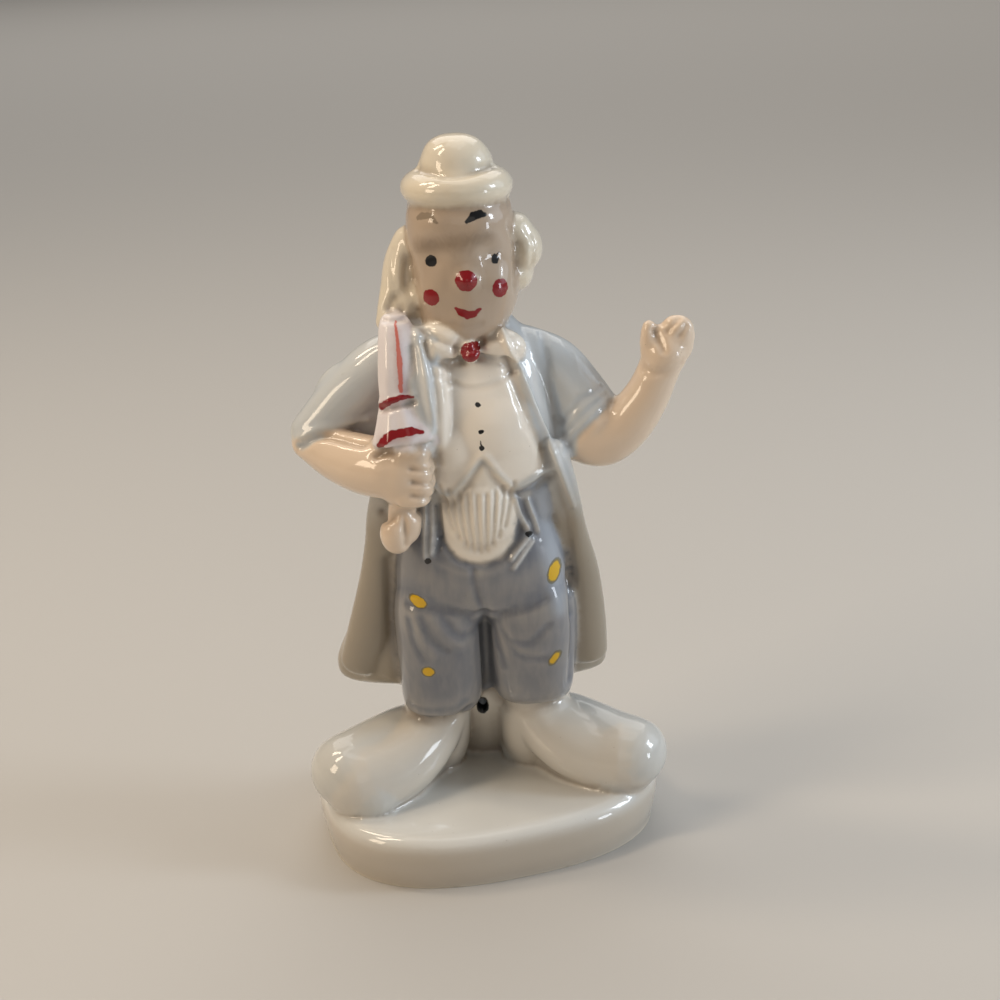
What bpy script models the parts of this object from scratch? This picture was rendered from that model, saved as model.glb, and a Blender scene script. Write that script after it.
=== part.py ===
"""A glazed clown figurine, cast as one solid with its oval plinth.

The figure faces -Y and stands on +Z. The origin is the middle of the plinth's flat underside.
"""

import math

import bmesh
import bpy
import numpy as np
from mathutils import Matrix, Vector
from mathutils.bvhtree import BVHTree

# Driving sizes, in metres.
PLINTH_WIDTH = 0.081
PLINTH_DEPTH = 0.063
PLINTH_HEIGHT = 0.013
PLINTH_RIM_RADIUS = 0.0035  # the soft edge round the top
PLINTH_FOOT_INSET = 0.0014  # how far the wall draws in towards the table
FIGURE_HEIGHT = 0.152  # from the plinth's top to the top of the hat
VENT_WIDTH = 0.0024  # the firing vent between the ankles
VENT_HEIGHT = 0.0044
VENT_DEPTH = 0.004

VENT_X = -1.3  # drawn places, as below
VENT_Z = 30.6

PLINTH_TURN = math.radians(16)  # the oval lies a little askew under the figure
PLINTH_SQUARENESS = 2.5  # 2 is an ellipse, more is boxier

# How finely the clay is cut, and how many triangles the finished skin has.
GRAIN = 0.0008
TRIANGLES = 9800

# The figure is drawn in millimetres on a model 152 high that stands on a plinth 13 high, so every
# drawn number is a share of FIGURE_HEIGHT. Drawn z counts from the table.
DRAWN_HEIGHT = 152.0
DRAWN_PLINTH = 13.0
DRAWN = FIGURE_HEIGHT / DRAWN_HEIGHT
DRAWN_X = -1.0  # where the plinth's middle lies on the drawing
DRAWN_Y = 4.8

PORCELAIN = (0.80, 0.77, 0.71, 1.0)

# Soft presses and swellings: how far they reach, how far the skin moves, and their middle (x, z).
SWELLS = {
    "eye sockets": (2.8, -1.0, ((-6.5, 142.0), (6.0, 141.5))),
    "brows": (3.2, 0.5, ((-6.0, 148.0), (4.5, 148.0))),
    "nose": (1.7, 1.9, ((0.5, 136.5),)),
    "cheeks": (3.1, 0.8, ((-7.0, 132.5), (7.5, 133.5))),
    "muzzle and chin": (2.6, 0.7, ((0.5, 131.5), (-1.0, 125.5))),
}

# Tool lines over the front, as (x, z): width, height (a cut is below zero), and the way they run.
LINES = {
    "crown on brim": (1.6, -0.5, ((-8.5, 158.5), (-1.0, 157.5), (7.0, 158.5))),
    "brim on face": (2.4, -0.4, ((-11.5, 151.0), (-0.5, 151.5), (10.0, 151.0))),
    "left hair": (2.0, -0.7, ((-12.0, 139.5), (-12.5, 134.5), (-10.5, 129.0))),
    "right hair": (2.2, -0.5, ((10.0, 146.0), (11.5, 141.0), (10.5, 134.0))),
    "curl": (1.8, -0.8, ((-15.0, 132.0), (-16.5, 130.0))),
    "curl foot": (1.6, -0.7, ((-17.5, 128.5), (-13.0, 128.5))),
    "chin": (1.6, -0.8, ((-9.0, 126.0), (-1.0, 122.0), (6.0, 123.6))),
    "left bow": (1.4, -0.8, ((-9.0, 124.0), (-7.0, 120.0), (-1.5, 118.5))),
    "right bow": (1.4, -0.7, ((2.5, 119.5), (8.0, 118.5), (10.0, 116.0))),
    "left coat edge": (1.6, 0.5, ((-10.5, 126.0), (-9.0, 118.0), (-8.0, 106.5))),
    "left of the waistcoat": (1.6, -0.6, ((-9.0, 124.5), (-7.0, 114.0), (-7.5, 98.0))),
    "right coat edge": (
        1.4,
        0.9,
        ((7.0, 125.0), (10.8, 115.5), (14.0, 106.5), (17.5, 96.5), (21.0, 84.5)),
    ),
    "right of the waistcoat": (
        2.2,
        -0.8,
        ((8.0, 118.0), (11.3, 108.0), (13.2, 103.0), (16.8, 93.5), (19.8, 80.0), (20.5, 58.0)),
    ),
    "waistcoat points": (
        1.6,
        0.5,
        ((-9.5, 92.0), (-5.6, 90.2), (-1.9, 94.0), (2.0, 99.2), (4.8, 95.0), (8.6, 91.2), (16.8, 93.8)),
    ),
    "under the points": (
        1.8,
        -0.6,
        ((-9.5, 90.0), (-5.6, 88.2), (-1.9, 92.0), (2.0, 97.2), (4.8, 93.0), (8.6, 89.2), (16.8, 91.8)),
    ),
    "umbrella on coat": (1.6, -0.5, ((-11.5, 123.0), (-10.5, 113.0), (-8.5, 107.0))),
    "umbrella tie": (1.1, 0.4, ((-19.0, 112.0), (-15.5, 113.0), (-12.0, 113.5))),
    "below the tie": (1.3, -0.9, ((-19.0, 110.5), (-15.5, 111.5), (-12.0, 112.0))),
    "under the canopy": (1.6, -1.0, ((-20.5, 101.0), (-14.5, 103.5), (-8.5, 103.0))),
    "first finger": (1.1, -0.7, ((-13.0, 98.5), (-8.5, 97.5))),
    "second finger": (1.1, -0.7, ((-13.0, 95.5), (-8.5, 94.5))),
    "third finger": (1.1, -0.6, ((-13.0, 92.5), (-9.0, 91.0))),
    "hand on crook": (1.8, -0.9, ((-20.5, 85.0), (-16.0, 87.5), (-12.0, 86.5))),
    "crook": (1.2, -0.7, ((-15.5, 86.0), (-15.5, 80.0))),
    "left sleeve": (1.8, -0.9, ((-38.0, 100.0), (-33.0, 102.5), (-23.5, 102.5))),
    "left sleeve lip": (1.8, 0.5, ((-38.0, 101.5), (-32.0, 104.0), (-23.0, 105.0))),
    "right armhole": (1.7, -0.5, ((16.0, 121.5), (17.5, 110.0), (20.0, 98.0))),
    "cuff": (1.6, -0.5, ((19.5, 103.5), (23.5, 108.0), (28.5, 110.0))),
    "cuff end": (1.8, -0.6, ((21.0, 98.5), (26.0, 103.5), (30.5, 107.0))),
    "wrist": (1.8, -0.5, ((37.0, 114.5), (41.0, 114.0), (45.5, 115.5))),
    "thumb": (1.6, -0.7, ((40.0, 122.5), (41.5, 119.0))),
    "under the shirt": (
        1.6,
        -0.6,
        ((-8.1, 80.0), (-5.4, 75.6), (-0.2, 73.6), (4.7, 74.8), (8.0, 77.8), (9.6, 81.0)),
    ),
    "crotch": (1.9, -0.45, ((-16.4, 63.5), (-9.3, 62.5), (0.4, 60.3), (8.5, 61.4), (14.2, 63.8))),
    "between the legs": (2.2, -1.0, ((0.4, 61.0), (0.4, 50.0), (0.2, 37.5))),
    "left knee": (2.0, -0.35, ((-16.5, 59.5), (-15.6, 53.5), (-13.6, 48.8))),
    "left knee fold": (2.0, -0.35, ((-13.9, 60.5), (-11.6, 54.8), (-8.6, 51.8))),
    "left knee top": (2.0, -0.3, ((-9.0, 60.8), (-5.7, 55.7), (-2.4, 55.2))),
    "right knee": (2.0, -0.3, ((3.4, 58.0), (6.0, 53.6), (10.4, 52.7), (14.6, 57.0))),
    "right knee fold": (2.0, -0.3, ((3.8, 55.8), (8.0, 49.4), (13.6, 47.7))),
    "left tail": (2.4, -0.8, ((-20.5, 72.0), (-21.0, 56.0), (-20.5, 40.0))),
    "right tail": (2.4, -0.8, ((20.0, 67.0), (20.5, 54.0), (19.5, 40.0))),
}


def spot(x, y, z):
    """The place of a drawn point."""
    height = PLINTH_HEIGHT + (z - DRAWN_PLINTH) * DRAWN
    return Vector(((x - DRAWN_X) * DRAWN, (y - DRAWN_Y) * DRAWN, height))


def add_ball(clay, centre, radii, turn=(0, 0, 0)):
    """An egg of clay. turn is degrees about X, Y and Z, in that order."""
    place = Matrix.Translation(spot(*centre))
    for angle, axis in zip(turn, "XYZ"):
        place = place @ Matrix.Rotation(math.radians(angle), 4, axis)
    stretch = Matrix.Diagonal((*(r * DRAWN for r in radii), 1))
    bmesh.ops.create_icosphere(clay, subdivisions=4, radius=1, matrix=place @ stretch)


def add_rings(clay, rings):
    """A closed body through rings of points, each ring as many points as the next."""
    below = []
    for number, ring in enumerate(rings):
        end = number in (0, len(rings) - 1)
        made = bmesh.ops.create_circle(clay, cap_ends=end, segments=len(ring), radius=1)
        for vert, place in zip(made["verts"], ring):
            vert.co = place
        edges = list({edge for vert in made["verts"] for edge in vert.link_edges})
        if below:
            bmesh.ops.bridge_loops(clay, edges=below + edges)
        below = edges


def oval(count, squareness=2.0, flutes=0, depth=0.0):
    """Points round a unit oval, its wall waved by flutes."""
    points = []
    for i in range(count):
        angle = 2 * math.pi * i / count
        c, s = math.cos(angle), math.sin(angle)
        wave = 1 + depth * math.cos(flutes * angle)
        points.append(
            (
                wave * math.copysign(abs(c) ** (2 / squareness), c),
                wave * math.copysign(abs(s) ** (2 / squareness), s),
            )
        )
    return points


def smooth_path(points, steps):
    """More points on a smooth curve through the given rows of numbers."""
    rows = [np.array(p, float) for p in points]
    rows = [2 * rows[0] - rows[1]] + rows + [2 * rows[-1] - rows[-2]]
    out = []
    for a, b, c, d in zip(rows, rows[1:], rows[2:], rows[3:]):
        for i in range(steps):
            t = i / steps
            pull = (2 * a - 5 * b + 4 * c - d) * t**2 + (3 * b - a - 3 * c + d) * t**3
            out.append(0.5 * (2 * b + (c - a) * t + pull))
    out.append(rows[-2])
    return out


def add_stack(clay, levels, squareness=2.0, flutes=0, depth=0.0):
    """A body of level ovals from the bottom up: z, centre x, centre y, half width, half depth."""
    unit = oval(96 if flutes else 48, squareness, flutes, depth)
    rings = []
    for z, x, y, wide, deep in smooth_path(levels, 3):
        rings.append([spot(x + wide * u, y + deep * v, z) for u, v in unit])
    add_rings(clay, rings)


def add_limb(clay, joints, flat=1.0, lean=(0, -1, 0)):
    """A round-ended limb through joints x, y, z, radius. flat under 1 thins it along lean."""
    path = smooth_path(joints, 5)
    centres = [Vector(p[:3]) for p in path]
    last = len(path) - 1
    dome = [math.pi / 2 * k / 4 - 0.12 for k in range(1, 4)]
    rings = []
    for i, centre in enumerate(centres):
        radius = float(path[i][3])
        ahead = (centres[min(i + 1, last)] - centres[max(i - 1, 0)]).normalized()
        thin = Vector(lean) - ahead * ahead.dot(Vector(lean))
        thin.normalize()
        side = ahead.cross(thin)
        slices = [(0.0, 1.0)]
        if i == 0:
            slices = [(-math.cos(a), math.sin(a)) for a in dome] + slices
        if i == last:
            slices = slices + [(math.cos(a), math.sin(a)) for a in reversed(dome)]
        for ahead_by, scale in slices:
            middle = centre + ahead * ahead_by * radius * flat
            ring = []
            for u, v in oval(28):
                ring.append(spot(*(middle + (side * u + thin * v * flat) * radius * scale)))
            rings.append(ring)
    add_rings(clay, rings)


def add_plinth(clay):
    """An oval slab with a soft rim, in its own sizes. It runs on below the table, to be cut there."""
    wall = PLINTH_HEIGHT - PLINTH_RIM_RADIUS
    rows = [
        (-3 * GRAIN, PLINTH_FOOT_INSET),
        (wall * 0.1, PLINTH_FOOT_INSET),
        (wall * 0.45, PLINTH_FOOT_INSET * 0.35),
        (wall * 0.8, 0.0),
    ]
    for i in range(7):
        angle = math.pi / 2 * i / 6
        inset = PLINTH_RIM_RADIUS * (1 - math.cos(angle))
        rows.append((wall + PLINTH_RIM_RADIUS * math.sin(angle), inset))
    turn = Matrix.Rotation(PLINTH_TURN, 3, "Z")
    rings = []
    for height, inset in rows:
        ring = []
        for u, v in oval(72, PLINTH_SQUARENESS):
            across = u * (PLINTH_WIDTH / 2 - inset)
            back = v * (PLINTH_DEPTH / 2 - inset)
            ring.append(turn @ Vector((across, back, 0)) + Vector((0, 0, height)))
        rings.append(ring)
    add_rings(clay, rings)


def add_feet(clay):
    """Ankles, long splayed shoes and the clay that joins them under the trousers."""
    left = (
        (-13.5, 8.5, 21.0, 7.6),
        (-18.0, 4.0, 22.2, 9.2),
        (-23.2, -0.8, 22.0, 9.7),
        (-28.4, -4.8, 21.2, 9.9),
        (-33.0, -8.2, 20.6, 9.9),
    )
    right = (
        (12.0, 8.6, 22.6, 7.8),
        (17.0, 5.0, 23.0, 9.2),
        (22.4, 1.8, 21.8, 9.6),
        (28.0, -1.4, 20.4, 9.6),
        (33.4, -4.2, 19.8, 9.3),
    )
    left_sole = (
        (-12.5, 12.0, 16.0, 6.6),
        (-18.0, 4.6, 17.0, 7.8),
        (-24.6, -4.8, 17.4, 8.6),
        (-29.2, -10.0, 17.2, 8.8),
    )
    right_sole = (
        (8.5, 10.5, 16.0, 6.6),
        (15.5, 7.6, 17.0, 7.6),
        (22.6, 0.6, 17.2, 8.4),
        (30.0, -3.6, 17.2, 9.2),
    )
    left_ankle = (
        (-13.5, 12.5, 14.0, 7.0),
        (-12.8, 8.0, 20.0, 8.0),
        (-12.3, 4.6, 27.0, 8.0),
        (-11.4, 3.0, 33.0, 7.5),
        (-10.8, 3.0, 38.0, 7.4),
    )
    right_ankle = (
        (10.0, 13.0, 14.0, 7.2),
        (10.7, 8.4, 20.0, 8.0),
        (11.0, 4.8, 27.0, 8.2),
        (11.0, 3.2, 34.0, 7.8),
        (11.0, 3.2, 40.0, 7.8),
    )
    for shoe in (left, right):
        add_limb(clay, shoe, flat=0.88, lean=(0, 0, 1))
    for sole in (left_sole, right_sole):
        add_limb(clay, sole, flat=0.9, lean=(0, 0, 1))
    for ankle in (left_ankle, right_ankle):
        add_limb(clay, ankle)
    # the insteps, from the ankles out to the shoes
    left_instep = (
        (-11.6, 2.2, 29.5, 6.9),
        (-14.6, 0.2, 25.2, 7.6),
        (-19.4, -3.2, 21.6, 8.6),
        (-25.2, -6.8, 19.6, 9.2),
        (-30.4, -9.2, 19.2, 9.4),
    )
    right_instep = (
        (11.2, 2.6, 31.0, 7.2),
        (14.4, 1.4, 25.8, 7.8),
        (19.4, -0.8, 22.0, 8.4),
        (25.6, -2.8, 19.4, 8.8),
        (31.2, -4.2, 19.0, 9.2),
    )
    add_limb(clay, left_instep)
    add_limb(clay, right_instep)
    join = (
        (8.0, 0.3, 17.4, 12.0, 5.6),
        (14.0, 0.3, 17.0, 11.0, 5.8),
        (20.0, 0.3, 14.4, 10.0, 6.4),
        (26.0, 0.3, 11.2, 10.0, 6.8),
        (32.0, 0.3, 9.0, 10.0, 7.2),
        (42.0, 0.3, 8.6, 12.0, 7.4),
    )
    add_stack(clay, join)


def add_trousers(clay):
    hips = (
        (56.0, 0.3, 1.0, 15.0, 9.0),
        (60.0, 0.3, 0.6, 19.0, 12.2),
        (64.5, 0.4, 0.0, 20.2, 13.7),
        (70.0, 0.4, -0.4, 19.9, 14.3),
        (76.0, 0.2, -0.4, 18.8, 14.0),
        (82.0, 0.4, -0.2, 17.4, 13.4),
        (89.0, 1.0, 0.0, 16.6, 13.2),
        (95.0, 1.4, 0.4, 15.6, 12.8),
    )
    left = (
        (31.6, -11.0, 2.4, 6.8, 6.8),
        (32.8, -10.8, 2.2, 8.4, 8.4),
        (36.0, -10.4, 1.8, 9.5, 9.8),
        (43.0, -10.0, 1.2, 10.2, 10.8),
        (51.0, -10.0, 0.6, 10.5, 12.0),
        (60.0, -9.9, 0.2, 10.5, 13.1),
        (66.0, -9.3, 0.2, 10.0, 12.4),
        (70.0, -8.8, 0.2, 8.6, 10.6),
    )
    right = (
        (34.0, 11.0, 2.8, 7.6, 7.4),
        (35.2, 11.0, 2.6, 8.8, 8.8),
        (38.2, 11.0, 2.2, 9.5, 9.8),
        (45.0, 10.9, 1.2, 10.2, 10.8),
        (52.0, 10.9, 0.6, 10.6, 12.0),
        (60.0, 10.7, 0.2, 10.7, 13.1),
        (66.0, 10.1, 0.2, 10.0, 12.4),
        (70.0, 9.4, 0.2, 8.6, 10.6),
    )
    add_stack(clay, hips, 2.6)
    add_limb(clay, ((0.6, -3.6, 62.0, 4.0), (0.5, -1.6, 48.0, 3.8), (0.4, 2.4, 39.0, 4.0)))
    add_stack(clay, left, 2.7)
    add_stack(clay, right, 2.7)


def add_coat(clay):
    """The long coat: one mass behind the legs that widens to its hem, and the chest above."""
    skirt = (
        (36.4, -3.2, 9.0, 28.0, 6.0),
        (38.0, -3.2, 8.8, 31.4, 8.0),
        (41.5, -3.2, 8.6, 32.2, 9.6),
        (45.0, -2.8, 8.4, 31.6, 10.4),
        (52.0, -1.8, 8.0, 29.4, 10.8),
        (60.0, -0.8, 7.6, 27.8, 11.4),
        (68.0, -0.4, 7.0, 26.0, 12.0),
        (76.0, -1.2, 6.0, 23.6, 12.6),
        (84.0, -2.0, 4.6, 22.4, 13.2),
        (90.0, -1.4, 3.0, 20.6, 13.6),
        (96.0, -0.6, 1.8, 19.4, 13.8),
        (101.0, -0.2, 1.0, 17.8, 12.8),
        (105.0, 0.0, 0.6, 14.0, 10.0),
    )
    chest = (
        (84.0, 0.4, 1.0, 15.0, 11.0),
        (88.0, 0.3, 0.4, 18.0, 14.4),
        (96.0, 0.1, 0.0, 19.0, 15.6),
        (102.0, 0.0, 0.0, 18.8, 15.5),
        (108.0, 0.0, 0.2, 18.0, 15.0),
        (113.0, -0.2, 0.4, 17.2, 13.8),
        (117.0, -0.4, 0.8, 16.6, 12.2),
        (120.5, -0.4, 1.2, 15.0, 10.4),
        (123.5, -0.2, 1.6, 11.4, 8.6),
        (126.5, 0.0, 1.8, 8.6, 7.0),
    )
    add_stack(clay, skirt, 2.3)
    add_stack(clay, chest, 2.3)
    # the two front edges, from the hips to the hem
    right = (
        (17.4, -9.6, 98.0, 3.0),
        (19.2, -8.4, 88.0, 3.4),
        (20.6, -5.0, 77.0, 3.8),
        (22.6, -2.0, 66.0, 4.4),
        (23.4, 0.4, 54.0, 5.0),
        (24.0, 2.4, 44.0, 4.8),
    )
    left = (
        (-18.0, -8.0, 94.0, 3.6),
        (-20.4, -6.6, 84.0, 4.0),
        (-21.8, -3.6, 75.0, 4.0),
        (-23.6, -1.2, 65.0, 4.4),
        (-26.4, 0.8, 53.0, 5.0),
        (-29.4, 2.8, 43.6, 4.8),
    )
    add_limb(clay, right, flat=0.7)
    add_limb(clay, left, flat=0.7)
    # cloth between sleeve and side, and the collar under the hair
    add_ball(clay, (-24.0, 1.0, 107.6), (11.0, 5.2, 10.0))
    add_ball(clay, (-12.0, -3.0, 122.0), (6.0, 6.0, 6.0))
    add_limb(clay, ((-9.8, -9.4, 122.0, 4.6), (-9.2, -12.2, 114.0, 5.2), (-9.0, -13.0, 104.0, 5.2)))


def add_shirt(clay):
    """The round shirt front under the waistcoat's points, and the waistcoat's own fullness."""
    add_ball(clay, (0.8, -4.2, 85.4), (12.0, 12.8, 12.8))
    add_ball(clay, (3.2, -5.0, 103.0), (13.4, 11.4, 12.6))
    add_ball(clay, (-4.4, -6.4, 100.4), (9.0, 10.0, 10.0))
    add_ball(clay, (-10.0, -7.4, 85.0), (5.6, 5.0, 9.5))
    add_ball(clay, (12.6, -6.6, 87.0), (5.0, 5.0, 8.5))


def add_arms(clay):
    # the arm that holds the umbrella: sleeve, bare forearm and fist
    sleeve = (
        (-12.0, 1.4, 117.0, 6.6),
        (-19.0, 0.8, 115.2, 6.8),
        (-27.0, 0.0, 109.2, 6.4),
        (-35.2, -1.2, 101.6, 5.2),
    )
    forearm = (
        (-35.8, -2.2, 99.8, 4.4),
        (-30.0, -5.6, 97.6, 5.8),
        (-23.6, -10.4, 96.6, 6.6),
        (-18.0, -14.0, 96.4, 6.6),
    )
    add_limb(clay, sleeve)
    add_limb(clay, forearm)
    add_ball(clay, (-15.2, -15.6, 95.8), (6.6, 5.6, 7.4))
    for x, z, r in ((-10.9, 100.6, 1.9), (-10.4, 97.4, 2.0), (-10.5, 94.2, 2.0), (-11.2, 91.2, 1.9)):
        add_limb(clay, ((x - 4.0, -19.0, z, r), (x - 0.6, -19.2, z, r), (x + 0.4, -16.0, z, r)))
    # the waving arm
    sleeve = (
        (11.0, 1.0, 116.4, 6.8),
        (18.0, 0.2, 113.2, 7.0),
        (22.6, -1.4, 107.4, 7.2),
        (25.6, -2.6, 102.4, 7.6),
    )
    forearm = (
        (23.6, -2.8, 99.6, 7.0),
        (28.6, -3.8, 98.4, 6.8),
        (34.0, -5.0, 101.8, 5.8),
        (38.2, -5.6, 107.6, 5.0),
        (40.8, -6.0, 113.4, 4.6),
        (42.2, -6.0, 117.0, 5.0),
    )
    add_limb(clay, sleeve)
    add_limb(clay, forearm)
    add_ball(clay, (42.8, -6.0, 118.8), (5.7, 3.6, 4.9))
    add_limb(clay, ((39.4, -6.6, 117.0, 2.6), (38.8, -6.8, 120.6, 2.1), (38.8, -6.8, 123.2, 1.6)))
    add_limb(clay, ((43.6, -5.8, 118.0, 4.2), (44.7, -6.0, 121.0, 4.2), (45.0, -6.4, 122.6, 3.6)), 0.8)


def add_umbrella(clay):
    """A furled umbrella held upright, its crook below the hand."""
    canopy = (
        (102.4, -14.2, -15.6, 6.2, 4.8),
        (103.2, -14.2, -15.6, 7.2, 5.4),
        (105.4, -14.2, -15.2, 6.6, 5.2),
        (109.6, -14.8, -14.2, 5.0, 4.4),
        (113.2, -15.4, -13.6, 3.9, 3.8),
        (115.4, -15.3, -13.2, 4.1, 3.8),
        (119.0, -15.0, -12.4, 4.3, 3.9),
        (124.0, -15.0, -10.8, 4.0, 3.6),
        (127.6, -15.2, -9.0, 3.4, 3.0),
        (129.2, -15.4, -8.0, 2.2, 2.0),
    )
    add_stack(clay, canopy, 2.0, 9, 0.045)
    add_limb(clay, ((-14.6, -15.0, 104.0, 3.0), (-15.6, -15.0, 92.0, 3.0), (-16.2, -14.4, 84.0, 3.4)))
    add_ball(clay, (-17.6, -14.8, 82.0), (3.7, 3.8, 4.8))
    add_ball(clay, (-14.6, -14.2, 84.6), (2.7, 3.2, 5.2))


def add_bow(clay):
    add_ball(clay, (-5.6, -9.2, 122.6), (5.6, 4.6, 4.6), (0, 16, 0))
    add_ball(clay, (6.4, -7.4, 120.8), (6.2, 4.2, 4.0), (0, 8, 0))
    add_ball(clay, (0.6, -12.2, 120.9), (2.3, 2.5, 2.3))


def add_head(clay):
    skull = (
        (121.4, -0.8, -5.5, 2.4, 2.6),
        (122.6, -0.7, -4.9, 6.0, 5.8),
        (125.6, -0.3, -2.9, 9.2, 9.0),
        (130.0, 0.2, -1.2, 11.0, 10.9),
        (135.0, 0.3, -0.6, 11.4, 11.7),
        (139.0, 0.0, -0.4, 11.4, 12.0),
        (143.5, -0.3, -0.3, 11.7, 12.2),
        (148.0, -0.5, 0.0, 11.4, 12.0),
        (151.5, -0.5, 0.3, 10.6, 11.2),
        (154.0, -0.4, 0.3, 8.0, 8.6),
    )
    add_stack(clay, skull, 2.1)
    add_limb(clay, ((0, 1.5, 112, 8.0), (0, 0.5, 127, 7.5)))


def add_hair(clay):
    add_ball(clay, (11.2, 2.0, 143.6), (4.0, 6.2, 4.0))
    add_ball(clay, (12.6, 2.2, 140.0), (4.5, 6.8, 5.4))
    add_ball(clay, (11.4, 2.2, 135.0), (3.6, 5.6, 4.4))
    lock = (
        (-11.6, 1.6, 142.4, 3.6),
        (-13.4, 0.6, 138.0, 3.9),
        (-14.6, -1.4, 133.0, 3.7),
        (-16.2, -3.4, 128.8, 3.0),
        (-17.2, -4.6, 126.6, 2.4),
    )
    add_limb(clay, lock)
    add_ball(clay, (-11.2, -1.0, 130.0), (4.6, 5.4, 5.6))
    add_ball(clay, (0.0, 6.6, 138.0), (12.0, 8.0, 9.5))
    add_ball(clay, (0.0, 7.6, 131.0), (9.6, 6.0, 6.0))


def add_hat(clay):
    """A small derby: a domed crown on a thick rolled brim."""
    brim = (
        (150.4, -0.7, 0.3, 8.6, 9.0),
        (151.4, -0.7, 0.3, 10.8, 11.4),
        (153.0, -0.7, 0.3, 11.8, 12.4),
        (154.8, -0.7, 0.3, 12.0, 12.6),
        (156.4, -0.7, 0.3, 11.1, 11.7),
        (157.6, -0.7, 0.3, 9.4, 9.8),
        (158.4, -0.7, 0.3, 7.6, 8.0),
    )
    crown = (
        (155.0, -0.7, 0.3, 8.4, 8.8),
        (158.6, -0.7, 0.3, 8.0, 8.4),
        (160.6, -0.5, 0.3, 7.4, 7.8),
        (162.4, -0.7, 0.3, 6.4, 6.7),
        (163.8, -0.8, 0.3, 5.0, 5.2),
        (164.7, -0.9, 0.3, 3.0, 3.1),
        (165.0, -0.9, 0.3, 0.8, 0.8),
    )
    add_stack(clay, brim)
    add_stack(clay, crown)


def build_clay():
    clay = bmesh.new()
    for add in (
        add_plinth,
        add_feet,
        add_trousers,
        add_coat,
        add_shirt,
        add_arms,
        add_umbrella,
        add_bow,
        add_head,
        add_hair,
        add_hat,
    ):
        add(clay)
    bmesh.ops.recalc_face_normals(clay, faces=clay.faces)
    mesh = bpy.data.meshes.new("clay")
    clay.to_mesh(mesh)
    clay.free()
    return mesh


def finished(mesh, *modifiers):
    """The mesh after the given modifiers: type and settings."""
    helper = bpy.data.objects.new("helper", mesh)
    bpy.context.scene.collection.objects.link(helper)
    for kind, settings in modifiers:
        modifier = helper.modifiers.new(kind.lower(), kind)
        for name, value in settings.items():
            setattr(modifier, name, value)
    graph = bpy.context.evaluated_depsgraph_get()
    result = bpy.data.meshes.new_from_object(helper.evaluated_get(graph))
    bpy.data.objects.remove(helper)
    return result


def read_vectors(items, name, width=3):
    numbers = np.empty(len(items) * width)
    items.foreach_get(name, numbers)
    return numbers.reshape(-1, width)


def tool_work(mesh):
    """Moves the skin out or in along the drawn lines and round the drawn spots."""
    places = read_vectors(mesh.vertices, "co")
    normals = read_vectors(mesh.vertices, "normal")
    corners = [tuple(face.vertices) for face in mesh.polygons]
    skin = BVHTree.FromPolygons([Vector(place) for place in places], corners)
    moves = np.zeros(len(places))

    def press(path, wide, height):
        reach = 2 * wide
        low = np.min(path, axis=0) - reach
        high = np.max(path, axis=0) + reach
        near = np.flatnonzero(((places > low) & (places < high)).all(axis=1))
        nearest = np.full(len(near), reach)
        for start, end in zip(path, path[1:] or path):
            along = end - start
            offset = places[near] - start
            length = max(along @ along, 1e-12)
            share = np.clip(offset @ along / length, 0, 1)
            gap = np.linalg.norm(offset - share[:, None] * along, axis=1)
            nearest = np.minimum(nearest, gap)
        moves[near] += height * DRAWN * np.exp(-math.log(2) * (nearest / wide) ** 2)

    def on_skin(x, z):
        return skin.ray_cast(spot(x, -80, z), Vector((0, 1, 0)))[0]

    for reach, height, middles in SWELLS.values():
        for x, z in middles:
            hit = on_skin(x, z)
            if hit is not None:
                press([np.array(hit)], reach * DRAWN, height)
    for width, height, points in LINES.values():
        hits = [on_skin(x, z) for x, z in smooth_path(points, 6)]
        path = [np.array(hit) for hit in hits if hit is not None]
        if path:
            press(path, width / 2 * DRAWN, height)
    places += normals * moves[:, None]
    mesh.vertices.foreach_set("co", places.ravel())
    mesh.update()


def keep_biggest_shell(body):
    """Loose crumbs and closed pockets inside the clay go."""
    left = set(body.faces)
    shells = []
    while left:
        wave = [left.pop()]
        shell = list(wave)
        while wave:
            reached = []
            for face in wave:
                for edge in face.edges:
                    for other in edge.link_faces:
                        if other in left:
                            left.remove(other)
                            reached.append(other)
            shell += reached
            wave = reached
        shells.append(shell)
    shells.sort(key=len)
    for shell in shells[:-1]:
        bmesh.ops.delete(body, geom=shell, context="FACES")


def cut_flat(mesh):
    """The underside, cut level with the table."""
    body = bmesh.new()
    body.from_mesh(mesh)
    keep_biggest_shell(body)
    everything = body.verts[:] + body.edges[:] + body.faces[:]
    cut = bmesh.ops.bisect_plane(
        body, geom=everything, plane_co=(0, 0, 0), plane_no=(0, 0, -1), clear_outer=True
    )
    edges = [item for item in cut["geom_cut"] if isinstance(item, bmesh.types.BMEdge)]
    cap = bmesh.ops.edgeloop_fill(body, edges=edges)["faces"]
    bmesh.ops.triangulate(body, faces=cap)
    bmesh.ops.recalc_face_normals(body, faces=body.faces)
    body.to_mesh(mesh)
    body.free()


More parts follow.
